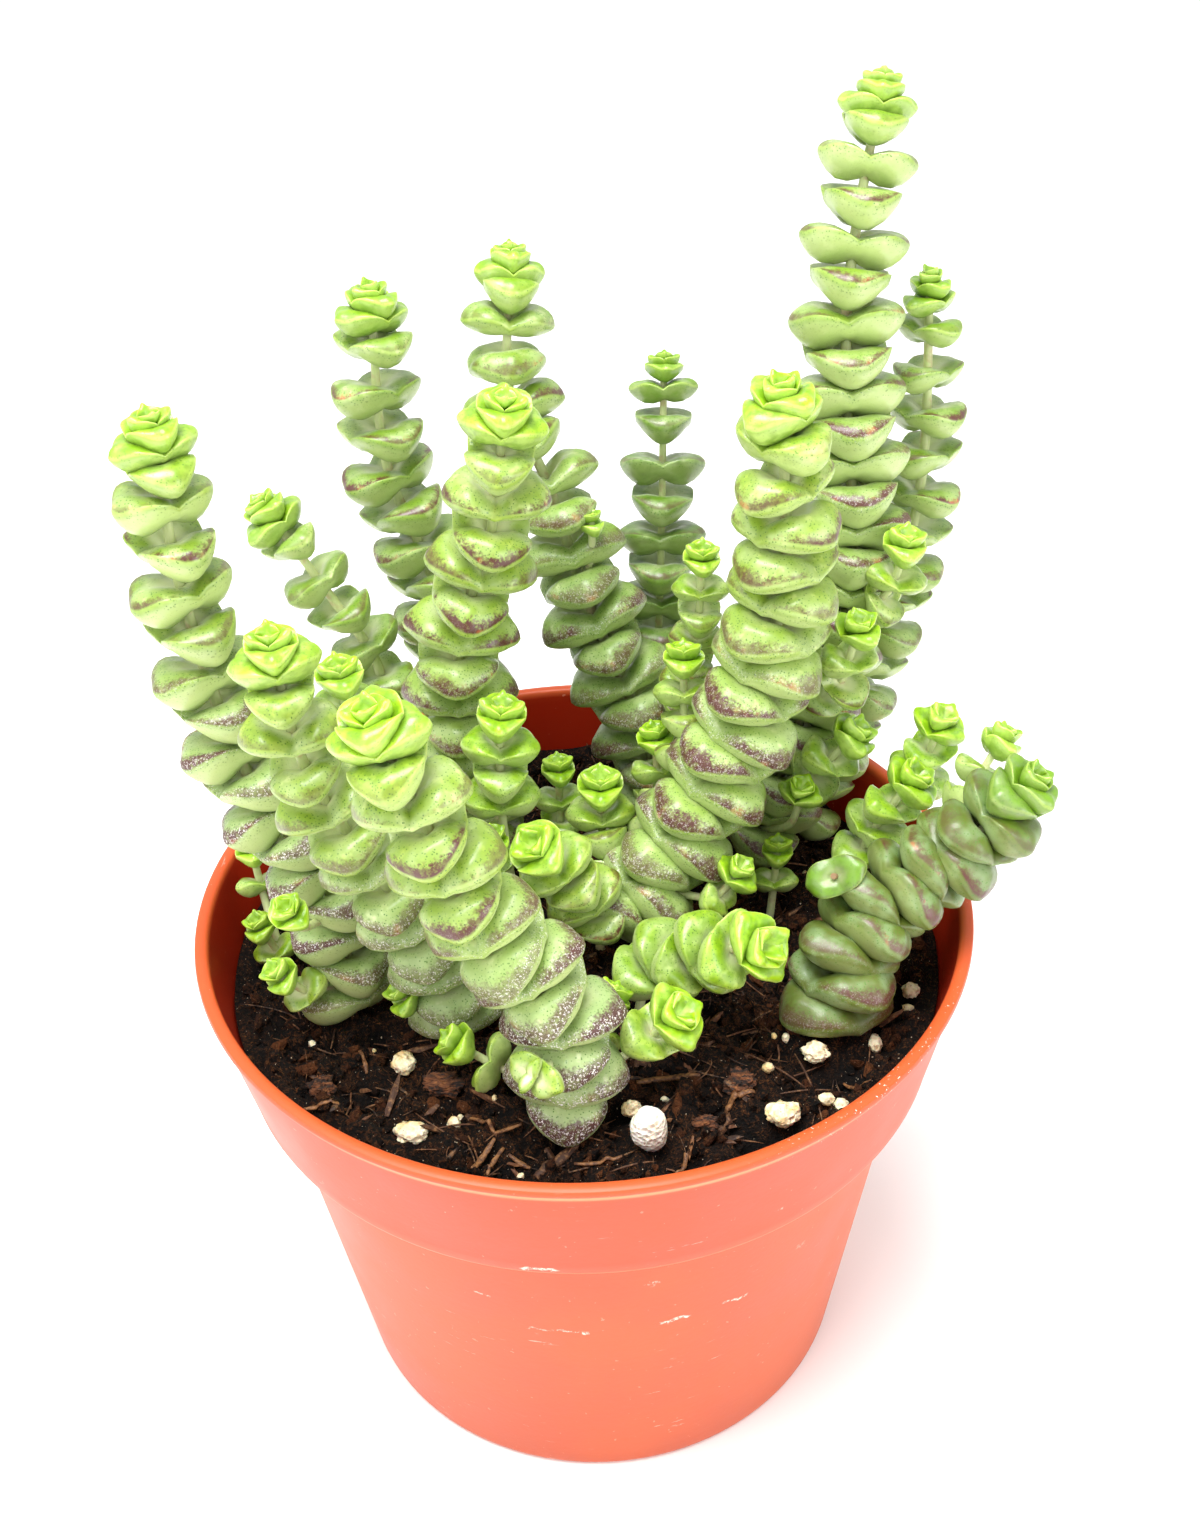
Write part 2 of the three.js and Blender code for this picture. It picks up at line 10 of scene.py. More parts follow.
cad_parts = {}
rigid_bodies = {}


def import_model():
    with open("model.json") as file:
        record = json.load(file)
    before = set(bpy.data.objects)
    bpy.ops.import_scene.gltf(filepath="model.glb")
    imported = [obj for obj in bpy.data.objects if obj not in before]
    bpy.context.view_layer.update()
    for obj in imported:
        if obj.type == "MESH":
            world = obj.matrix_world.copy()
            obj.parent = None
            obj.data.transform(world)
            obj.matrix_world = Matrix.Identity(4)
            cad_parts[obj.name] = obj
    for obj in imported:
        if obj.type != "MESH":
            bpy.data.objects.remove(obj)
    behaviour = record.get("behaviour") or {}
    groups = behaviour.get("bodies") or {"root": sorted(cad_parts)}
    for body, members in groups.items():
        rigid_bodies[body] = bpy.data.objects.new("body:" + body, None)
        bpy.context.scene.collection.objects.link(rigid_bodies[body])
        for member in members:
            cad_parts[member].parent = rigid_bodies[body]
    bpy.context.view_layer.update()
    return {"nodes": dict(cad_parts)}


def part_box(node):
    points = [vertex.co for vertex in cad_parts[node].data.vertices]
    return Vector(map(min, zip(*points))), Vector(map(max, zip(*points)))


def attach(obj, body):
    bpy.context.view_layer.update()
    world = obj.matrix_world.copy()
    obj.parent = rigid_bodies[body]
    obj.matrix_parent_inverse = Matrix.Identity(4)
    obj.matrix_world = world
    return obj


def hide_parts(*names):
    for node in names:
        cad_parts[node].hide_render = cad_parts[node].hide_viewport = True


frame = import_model()
scene = bpy.context.scene
mm = 0.001  # the lists below are in millimetres
print("frame loaded:", len(frame["nodes"]), "nodes")


# small helpers

def colour(code):
    # hex code as the eye reads it, turned into the linear values that Blender mixes
    parts = [int(code[i:i + 2], 16) / 255 for i in (0, 2, 4)]
    return tuple(p / 12.92 if p <= 0.04045 else ((p + 0.055) / 1.055) ** 2.4 for p in parts) + (1.0,)


def fill(node, inputs):
    # links sockets and sets plain values
    for name, value in inputs.items():
        if isinstance(value, bpy.types.NodeSocket):
            node.id_data.links.new(value, node.inputs[name])
        else:
            node.inputs[name].default_value = value
    return node


def addNode(tree, kind, inputs=None, **settings):
    node = tree.nodes.new(kind)
    for name, value in settings.items():
        setattr(node, name, value)
    return fill(node, inputs or {})


def treeOf(*values):
    # the node tree of the first socket among the values
    return next(value.id_data for value in values if isinstance(value, bpy.types.NodeSocket))


def calc(operation, *values, clamp=False):
    node = addNode(treeOf(*values), "ShaderNodeMath", operation=operation, use_clamp=clamp)
    return fill(node, dict(enumerate(values))).outputs[0]


def times(first, *others):
    for other in others:
        first = calc("MULTIPLY", first, other)
    return first


def plus(first, *others):
    for other in others:
        first = calc("ADD", first, other)
    return first


def minus(first, second):
    return calc("SUBTRACT", first, second)


def ramp(value, low, high, toLow=0.0, toHigh=1.0):
    # smooth step from one value to another
    return addNode(treeOf(value), "ShaderNodeMapRange", {0: value, 1: low, 2: high, 3: toLow, 4: toHigh},
                   interpolation_type="SMOOTHSTEP").outputs[0]


def blend(share, first, second):
    # lays the second colour over the first; a colour is a socket or a hex code
    layers = [colour(value) if isinstance(value, str) else value for value in (first, second)]
    node = addNode(treeOf(share, *layers), "ShaderNodeMix", data_type="RGBA", clamp_factor=True)
    return fill(node, {0: share, 6: layers[0], 7: layers[1]}).outputs[2]


def layered(skin, *layers):
    # lays one colour after the other over the skin, each by its share
    for share, hue in layers:
        skin = blend(share, skin, hue)
    return skin


def attribute(tree, name):
    return addNode(tree, "ShaderNodeAttribute", attribute_name=name).outputs["Fac"]


def grain(place, scale, detail=3.0, rough=0.55, twist=0.0):
    return addNode(treeOf(place), "ShaderNodeTexNoise", {
        "Vector": place, "Scale": scale, "Detail": detail, "Roughness": rough, "Distortion": twist,
    }).outputs["Fac"]


def stretched(place, scale):
    return addNode(treeOf(place), "ShaderNodeMapping", {"Vector": place, "Scale": scale}).outputs[0]


def newMaterial(name, roughness, **sockets):
    material = bpy.data.materials.new(name)
    material.use_nodes = True
    tree = material.node_tree
    shader = tree.nodes["Principled BSDF"]
    fill(shader, {key.replace("_", " "): value for key, value in dict(sockets, Roughness=roughness).items()})
    return material, tree, shader, tree.nodes.new("ShaderNodeTexCoord").outputs["Object"]


def dress(shader, skin, relief=None, strength=0.0, depth=0.0, rough=None):
    # joins the finished colour, bumps and roughness to the shader
    fill(shader, {"Base Color": skin})
    if relief:
        bump = {"Height": relief, "Strength": strength, "Distance": depth}
        fill(shader, {"Normal": addNode(shader.id_data, "ShaderNodeBump", bump).outputs[0]})
    if rough:
        fill(shader, {"Roughness": rough})


def circle(radius, count):
    angles = [2 * math.pi * i / count for i in range(count)]
    return [(radius * math.cos(angle), radius * math.sin(angle)) for angle in angles]


def band(low, high, count, downward=False):
    # four-sided faces between two rings of points, each given by its first point
    pairs = [(i, (i + 1) % count) for i in range(count)]
    if downward:
        return [(low + i, high + i, high + j, low + j) for i, j in pairs]
    return [(low + i, low + j, high + j, high + i) for i, j in pairs]


def fan(centre, ring, count, downward=False):
    # triangles between one point and a ring
    pairs = [(i, (i + 1) % count) for i in range(count)]
    return [(centre, ring + j, ring + i) if downward else (centre, ring + i, ring + j) for i, j in pairs]


def caps(low, high, count):
    # closes the first and the last ring of a tube
    return [tuple(range(low, low + count))[::-1], tuple(range(high, high + count))]


def meshObject(name, points, faces, materials=(), smooth=True):
    mesh = bpy.data.meshes.new(name)
    mesh.from_pydata([tuple(p) for p in points], [], [tuple(f) for f in faces])
    mesh.update()
    mesh.shade_smooth() if smooth else mesh.shade_flat()
    for material in materials:
        mesh.materials.append(material)
    piece = bpy.data.objects.new(name, mesh)
    scene.collection.objects.link(piece)
    return piece


def setFloats(mesh, name, values):
    layer = mesh.attributes.new(name, "FLOAT", "POINT")
    layer.data.foreach_set("value", np.asarray(values, np.float32).ravel())


def shapeCollection(name, shapes):
    # shapes that are only laid by Geometry Nodes
    collection = bpy.data.collections.new(name)
    for shape in shapes:
        scene.collection.objects.unlink(shape)
        collection.objects.link(shape)
    return collection


def removeShapes(collection):
    for shape in list(collection.objects):
        bpy.data.objects.remove(shape)


def newGroup(name, inputs):
    # Geometry Nodes tree with named inputs, whose kinds follow from their values
    tree = bpy.data.node_groups.new(name, "GeometryNodeTree")
    kinds = {float: "Float", int: "Int", bpy.types.Material: "Material", bpy.types.Collection: "Collection"}
    tree.interface.new_socket("Geometry", in_out="INPUT", socket_type="NodeSocketGeometry")
    for label, value in inputs.items():
        kind = "NodeSocket" + kinds[type(value)]
        tree.interface.new_socket(label, in_out="INPUT", socket_type=kind).default_value = value
    tree.interface.new_socket("Geometry", in_out="OUTPUT", socket_type="NodeSocketGeometry")
    return tree, tree.nodes.new("NodeGroupInput").outputs


def named(tree, name, kind="FLOAT"):
    return addNode(tree, "GeometryNodeInputNamedAttribute", {"Name": name}, data_type=kind).outputs[0]


def above(tree, value, limit):
    return addNode(tree, "FunctionNodeCompare", {0: value, 1: limit}, operation="GREATER_THAN").outputs[0]


def drawn(tree, low, high, seed, kind="FLOAT"):
    # a random value or vector for each point
    first = 0 if kind == "FLOAT_VECTOR" else 2
    node = addNode(tree, "FunctionNodeRandomValue", data_type=kind)
    fill(node, {first: low, first + 1: high, "Seed": seed})
    return node.outputs[first // 2]


def layShapes(tree, spots, shapes, angles, size, more=None):
    # puts shapes of a collection on points
    kinds = addNode(tree, "GeometryNodeCollectionInfo",
                    {"Collection": shapes, "Separate Children": True, "Reset Children": True})
    turn = addNode(tree, "FunctionNodeEulerToRotation", {0: angles})
    return addNode(tree, "GeometryNodeInstanceOnPoints", {
        "Points": spots, "Instance": kinds.outputs[0], "Pick Instance": True,
        "Rotation": turn.outputs[0], "Scale": size, **(more or {})}).outputs[0]


def realized(tree, geometry):
    return addNode(tree, "GeometryNodeRealizeInstances", {"Geometry": geometry}).outputs[0]


def painted(tree, geometry, material):
    return addNode(tree, "GeometryNodeSetMaterial", {"Geometry": geometry, "Material": material}).outputs[0]


def joined(tree, *geometries):
    both = tree.nodes.new("GeometryNodeJoinGeometry")
    for geometry in geometries:
        fill(both, {0: geometry})
    return both.outputs[0]


def useGroup(piece, tree, **inputs):
    modifier = piece.modifiers.new(tree.name, "NODES")
    modifier.node_group = tree
    for item in tree.interface.items_tree:
        if item.item_type == "SOCKET" and item.in_out == "INPUT" and item.name.replace(" ", "_") in inputs:
            modifier[item.identifier] = inputs[item.name.replace(" ", "_")]


def makeReal(piece):
    # turns what the modifiers make into the piece's own plain mesh
    depsgraph = bpy.context.evaluated_depsgraph_get()
    real = bpy.data.meshes.new_from_object(
        piece.evaluated_get(depsgraph), preserve_all_data_layers=True, depsgraph=depsgraph)
    piece.modifiers.clear()
    old = piece.data
    piece.data = real
    real.name = piece.name
    bpy.data.meshes.remove(old)


def finishPiece(piece, slot, *nodes):
    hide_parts(*nodes)
    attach(piece, "root")


# leaf and stalk finishes

leafLook = {
    "lime": "a3d012",         # growing tips
    "deep": "44641a",         # painted shade: darker green of leaves at the back and in shadow, and under the pairs near the stem
    "olive": "58561f",        # dull olive of the low stem on the right, its own colour darkened as painted shade
    "mint": "71855a",         # and their paler patches
    "grey": "c9d4b0",         # old leaves near the soil
    "heart": "eef4c4",        # pale round the stem, where the wax is thick, and brightened as painted highlight
    "belly": "c8d890",        # underside
    "dot": "4a7418",          # dark pores
    "flesh": "6c970e",        # see-through middle of a young leaf
    "rim": "dcee84",          # pale rim of a young leaf, partly painted highlight
    "band": "552a20",         # red-brown just inside the margin
    "ember": "b4552a",        # orange red blotches in the band
    "mauve": "4e302c",        # band on old leaves
    "dust": "f8f3ef",         # white specks on old leaves
    "patchScale": 260.0, "mottleScale": 620.0, "crumbScale": 1300.0, "poreScale": 2500.0,
    "fineScale": 2600.0, "scurfScale": 3400.0,
    "bandFrom": 0.9, "bandAtTips": -0.1, "bandOnDusty": 0.075,   # where the band begins, by reach
    "bumps": 0.25, "bumpDepth": 0.00012,
}


def makeLeafMaterial(name, green, blushShare, subsurface):
    look = leafLook
    material, tree, shader, place = newMaterial(
        name, 0.42, Subsurface_Weight=subsurface, Subsurface_Scale=0.0025, Specular_IOR_Level=0.55,
        Coat_Weight=0.32, Coat_Roughness=0.21, Subsurface_Radius=(0.7, 1.0, 0.25))
    reach = attribute(tree, "reach")       # 0 at the stem on top, 1 at the margin, 2 at the stem below
    tipward = attribute(tree, "tipward")   # 0 between the two leaves, 1 at a tip
    old = attribute(tree, "old")
    blush = times(attribute(tree, "blush"), blushShare)
    dust = attribute(tree, "dust")
    # painted shade: how much darker the leaves of a stem at the back or in shadow are painted
    tone = attribute(tree, "tone")
    patches = grain(place, look["patchScale"], 2.0)
    mottle = grain(place, look["mottleScale"], 2.0)
    fine = grain(place, look["fineScale"], 2.0)
    crumbs = grain(place, look["crumbScale"], 3.0, 0.7)

    # green by age, then darkened by the stem's painted shade and greyed by its dust
    # pale patches of the heart colour on older leaves: part the leaf's own patches, part painted highlight
    pale = times(ramp(patches, 0.38, 0.68, 0.0, 0.45), ramp(old, 0.15, 0.6, 0.25, 1.0))
    # olive with paler mint patches, laid where the painted shade is strongest: part the leaves' own colour,
    # part painted shade
    shadedOlive = blend(ramp(patches, 0.46, 0.66), look["olive"], look["mint"])
    flesh = ramp(plus(mottle, times(old, 0.25)), 0.48, 0.66, 0.0, 0.45)
    skin = layered(
        blend(ramp(old, 0.08, 0.62), look["lime"], green),
        (times(tone, 0.95), look["deep"]),
        (times(dust, 0.78), look["grey"]),
        (pale, look["heart"]),
        (ramp(tone, 0.9, 1.3, 0.0, 0.85), shadedOlive),
        (times(flesh, ramp(tone, 0.8, 1.3, 1.0, 0.3)), look["flesh"]))

    # pale heart of the top side, part wax and part painted highlight, and pale belly below; both weaker
    # under painted shade
    heart = times(ramp(reach, 0.68, 0.25, 0.0, 0.85), ramp(old, 0.1, 0.5, 0.25, 1.0))
    belly = times(ramp(reach, 1.0, 1.12), ramp(old, 0.1, 0.6, 0.25, 0.8))
    skin = layered(
        skin,
        (times(heart, ramp(tone, 0.2, 1.0, 1.0, 0.35)), look["heart"]),
        (times(belly, ramp(tone, 0.2, 1.0, 1.0, 0.35)), look["belly"]),
        # painted shade: deep green on the underside near the stem, in the crevices between pairs
        (ramp(reach, 1.25, 1.7, 0.0, 0.38), look["deep"]))

    # young leaves are see-through in the middle and pale along the rim, the rim partly a painted highlight
    # that is weaker under painted shade
    young = ramp(old, 0.62, 0.15)
    middle = times(ramp(reach, 0.3, 0.6), ramp(reach, 0.93, 0.78), ramp(mottle, 0.3, 0.6, 0.25, 0.7))
    behind = times(ramp(reach, 1.05, 1.3), young)
    rim = times(ramp(reach, 0.93, 0.98), ramp(reach, 1.06, 1.01), ramp(tone, 0.3, 1.2, 1.0, 0.3))
    skin = layered(
        skin,
        (times(middle, young), look["flesh"]),
        (times(behind, ramp(mottle, 0.35, 0.65, 0.1, 0.6)), look["flesh"]),
        (times(rim, ramp(old, 0.75, 0.2, 0.13, 0.38)), look["rim"]))

    # dark pores over the outer part of the top side, thinner below
    pores = addNode(tree, "ShaderNodeTexVoronoi", {"Vector": place, "Scale": look["poreScale"]})
    pore = ramp(pores.outputs["Distance"], 0.34, 0.16)
    zone = times(ramp(reach, 0.35, 0.72), ramp(reach, 1.3, 1.0, 0.08, 1.0),
                 ramp(crumbs, 0.3, 0.6, 0.35, 0.95), ramp(old, 0.1, 0.55, 0.3, 1.0))
    skin = layered(skin, (times(zone, 0.2), look["dot"]), (times(pore, zone), look["dot"]))

    # red-brown band inside the margin, widest at the tips, broken up at its inner edge
    inner = calc("MULTIPLY_ADD", calc("POWER", tipward, 5.0), look["bandAtTips"], look["bandFrom"])
    inner = plus(minus(inner, times(dust, look["bandOnDusty"])),
                 ramp(patches, 0.3, 0.7, -0.05, 0.08), ramp(fine, 0.3, 0.7, -0.06, 0.06))
    outer = ramp(dust, 0.0, 0.6, 0.955, 1.02)
    share = times(ramp(minus(reach, inner), -0.08, 0.08), ramp(minus(reach, outer), 0.03, -0.02),
                  ramp(tipward, 0.15, 0.5, 0.1, 1.0), times(blush, 1.15))
    share = calc("MULTIPLY", share, ramp(crumbs, 0.3, 0.6, 0.55, 1.0), clamp=True)
    red = blend(ramp(patches, 0.57, 0.7), look["band"], look["ember"])
    red = blend(calc("MULTIPLY", dust, 0.8, clamp=True), red, look["mauve"])

    # white specks and scurf on the old leaves
    speck = ramp(grain(place, look["scurfScale"], 2.0, 0.85), 0.56, 0.61)
    speck = times(speck, times(ramp(reach, 0.74, 0.94), ramp(reach, 1.1, 1.0)), dust)
    skin = layered(skin, (share, red), (speck, look["dust"]))
    relief = plus(times(pore, -0.5), crumbs, speck)
    rough = ramp(plus(dust, speck, times(tone, 0.3)), 0.0, 1.0, 0.37, 0.62)
    dress(shader, skin, relief, look["bumps"], look["bumpDepth"], rough)
    return material


def makeStalkMaterial():
    material, tree, shader, place = newMaterial(
        "fleshy stalk", 0.5, Subsurface_Weight=0.2, Subsurface_Scale=0.002,
        Subsurface_Radius=(0.9, 1.0, 0.4))
    streak = grain(stretched(place, (2.2, 2.2, 0.35)), 900.0)
    skin = layered(
        blend(streak, "dfe3b4", "a9bb74"),
        (ramp(grain(place, 500.0, 2.0), 0.5, 0.7, 0.0, 0.5), "b98f78"),
        (times(attribute(tree, "woody"), 0.75), "8a6a4c"))
    dress(shader, skin, streak, 0.3, 0.0001)
    return material


leafMaterial = makeLeafMaterial("fleshy leaf", "a9bf4a", 1.0, 0.16)
youngMaterial = makeLeafMaterial("young leaf", "9cc02a", 0.55, 0.25)
stalkMaterial = makeStalkMaterial()


# leaf pairs: one shape for each stage of growth, from the bud to the open pair

leafPair = {
    "around": 40,            # points round a pair
    "halfWidth": 0.78,       # as a share of the half length, as all that follow
    "ridge": 0.3,            # height of the plump ridge across each leaf
    "keel": 0.2,             # depth of the underside at the stem
    "sag": 0.12,             # how much deeper the underside is under each leaf
    "ridgeAt": 0.6,
    "tipSpread": 0.2,        # how wide the drawn out tip is, in radians
    "notchSpread": 0.36,     # and the notch between the two leaves
    "bendOver": 0.3,         # how far out the leaves have taken their fold
    "topRings": [0.1, 0.22, 0.34, 0.46, 0.57, 0.68, 0.78, 0.87, 0.94, 0.982],
    "underRings": [0.982, 0.93, 0.84, 0.7, 0.5, 0.28, 0.1],
}
# for each stage: fold of the leaves in degrees, curl of their sides, depth of the notch between them,
# sharpness of the tips, thickness, width, roundness of the outline, height of the hollow round the
# stem, of the saddle between the leaves and of the margin at the shoulders, how blunt the margin is, and
# how deep the underside is; the last two rows are for stems whose pairs stand apart
stageWords = ("fold", "curl", "notch", "point", "thick", "width", "fullness", "hollow", "saddle", "shoulder",
              "blunt", "belly")
growthStages = [dict(zip(stageWords, row)) for row in (
    (60, 0.5, 0.02, 0.25, 1.35, 1.0, 2.1, 0.05, 0.1, 0.15, 0.6, 1.0),
    (43, 0.46, 0.03, 0.2, 1.3, 1.12, 2.15, 0.05, 0.1, 0.15, 0.6, 1.0),
    (24, 0.28, 0.06, 0.16, 1.28, 1.1, 2.15, 0.05, 0.1, 0.17, 0.6, 1.0),
    (12, 0.12, 0.13, 0.13, 1.24, 1.05, 2.1, 0.05, 0.12, 0.19, 0.5, 1.1),
    (8, 0.02, 0.18, 0.08, 1.2, 1.04, 2.1, 0.06, 0.12, 0.19, 0.4, 1.2),
    (6, 0.0, 0.16, 0.07, 1.22, 1.05, 2.15, 0.1, 0.16, 0.17, 0.6, 0.42),
    (6, 0.0, 0.1, 0.08, 1.26, 1.02, 2.1, 0.13, 0.21, 0.17, 0.9, 0.38),
    (3, -0.02, 0.08, 0.07, 1.3, 1.07, 2.12, 0.13, 0.22, 0.15, 0.9, 0.42),
    (7, 0.02, 0.16, 0.07, 1.2, 1.06, 2.12, 0.06, 0.12, 0.2, 0.4, 1.55),
    (5, 0.0, 0.1, 0.06, 1.25, 1.04, 2.15, 0.08, 0.15, 0.2, 0.6, 1.45),
)]


def bendUp(points, fold, curl):
    # bends both leaves up from the stem, so that they close round the bud
    x, y, z = points.T
    steps = np.linspace(0, 1.6, 400)
    lean = math.radians(fold) * (1 - np.exp(-steps / leafPair["bendOver"]))
    outs, ups = [np.concatenate([[0], np.cumsum(wave(lean[:-1]) * (steps[1] - steps[0]))])
                 for wave in (np.cos, np.sin)]
    z = z + curl * y * y
    reach = np.abs(x)
    angle = np.interp(reach, steps, lean)
    out = np.interp(reach, steps, outs) - z * np.sin(angle)
    up = np.interp(reach, steps, ups) + z * np.cos(angle)
    return np.stack([np.sign(x) * np.maximum(out, 0), y, up], 1)


def makePairMesh(index, stage):
    a = leafPair
    count = a["around"]
    thick, blunt = stage["thick"], stage["blunt"]
    folded = min(1, stage["fold"] / 60)
    angles = np.arange(count) * 2 * math.pi / count
    angles = angles - 0.14 * np.sin(2 * angles)  # closer together at the tips
    c, s = np.cos(angles), np.sin(angles)
    power = 2 / stage["fullness"]
    turned = angles % math.pi
    tips = np.exp(-(np.minimum(turned, math.pi - turned) / a["tipSpread"]) ** 2)
    sides = np.exp(-((turned - math.pi / 2) / a["notchSpread"]) ** 2)
    size = 1 + stage["point"] * tips - stage["notch"] * sides
    outX = np.sign(c) * np.abs(c) ** power * size
    outY = np.sign(s) * np.abs(s) ** power * a["halfWidth"] * stage["width"] * size
    along = np.abs(c) ** 1.6
    far = np.minimum(np.abs(outX), 1)
    hump = np.clip(1 - (np.abs(far - 0.46) / 0.54) ** 2.4, 0, 1)
    marginZ = stage["shoulder"] * hump * thick
    saddle = stage["saddle"]
    flat = 1 - stage["belly"]
    height = a["ridge"] + 0.1 * flat
    ridge = (saddle + (height - saddle) * np.minimum(1, 1.35 * np.abs(c) ** 0.8)) * thick
    ridge = ridge * (1 - 0.4 * folded)
    heart = stage["hollow"] * thick
    keel = -a["keel"] * thick * (1 - 0.25 * folded) * (1 - 0.7 * flat)
    centre = np.zeros(count)
    rings, tipward = [np.stack([centre, centre, centre + heart], 1)], []

    def addRing(share, z):
        rings.append(np.stack([outX * share, outY * share, z], 1))
        tipward.append(far * share)

    for share in a["topRings"]:
        if share <= a["ridgeAt"]:
            lift = np.sin(0.5 * math.pi * share / a["ridgeAt"]) ** 1.7
            z = heart + (ridge - heart) * lift
        else:
            t = (share - a["ridgeAt"]) / (1 - a["ridgeAt"])
            z = marginZ + (ridge - marginZ) * (1 - t ** 2.3) ** 0.55
        addRing(share, z)
    margin = len(rings)
    addRing(1.0, marginZ)
    for share in a["underRings"]:
        power = 1.55 + blunt + (1.45 - blunt) * along
        softness = 0.76 - 0.2 * blunt - (0.24 - 0.2 * blunt) * along
        depth = (1 - share ** power) ** softness
        sag = a["sag"] * thick * (1 - flat) * along * math.sin(math.pi * share ** 0.9)
        addRing(share, marginZ - (marginZ - keel) * depth - sag)
    rings.append(np.stack([centre, centre, centre + keel], 1))
    # how far round the leaf from the stem, measured on its skin: 1 at the margin, 2 at the stem below
    gone = np.cumsum(np.linalg.norm(np.diff(np.array(rings), axis=0), axis=2), axis=0)
    top, whole = gone[margin - 1], gone[-1]
    reach = np.where(gone <= top, gone / top, 1 + (gone - top) / (whole - top))
    points = np.concatenate(rings[1:-1] + [rings[0][:1], rings[-1][:1]])
    points[:, 2] -= 0.1 * thick * flat
    points = bendUp(points, stage["fold"], stage["curl"])
    points = points / np.abs(points[:, 0]).max()

    last = (len(rings) - 3) * count
    end = last + count
    faces = [face for low in range(0, last, count) for face in band(low, low + count, count, True)]
    faces += fan(end, 0, count) + fan(end + 1, last, count, True)
    piece = meshObject(f"pair shape {index}", points, faces)
    setFloats(piece.data, "reach", np.concatenate([reach[:-1].ravel(), [0, 2]]))
    setFloats(piece.data, "tipward", np.concatenate(tipward + [[0, 0]]))
    return piece


pairShapes = shapeCollection(
    "pair shapes", [makePairMesh(index, stage) for index, stage in enumerate(growthStages)])


# how a stem grows, counted in millimetres below its tip

growth = {
    "rosetteSteps": [1, 2.3, 4.2, 7.8], "shootSteps": [1.1, 2.7],
    "openInternode": 6.1, "closeInternode": 5.2, "crowdedBelow": 55, "shootInternode": 4.3,
    "young": 0.66, "youngReach": 1.6, "shootYoung": 0.95, "shootYoungReach": 1.3, "slowReach": 22,
    "shootPairs": 3,
    "lowestPair": 2.4,
    "wobble": 10,            # degrees
    "tilt": 3,               # degrees, in the finer shapes alone
    "stalkRadius": 0.85, "tipRadius": 0.5, "shootRadius": 0.72,
    "stalkStep": 0.8,        # between the places of its middle line
    "sunk": 5,
    "scar": 0.5,             # how far the dry stump of a lost tip stands out
    "bud": (0.2, 0.64), "shootBud": (0.9, 0.74),   # how far under the tip, and size
    "thinOver": 24,          # how far down from the tip the stalk is thinner
    "woodyUpTo": 16,
    "dryStump": (1.3, 0.42),  # how brown the stump of a lost tip is, and its radius
    "shootPlump": 1.13,
    "broadOver": 12, "oldReach": 13, "blushAges": (4, 16), "dustAges": (27, 51),
}
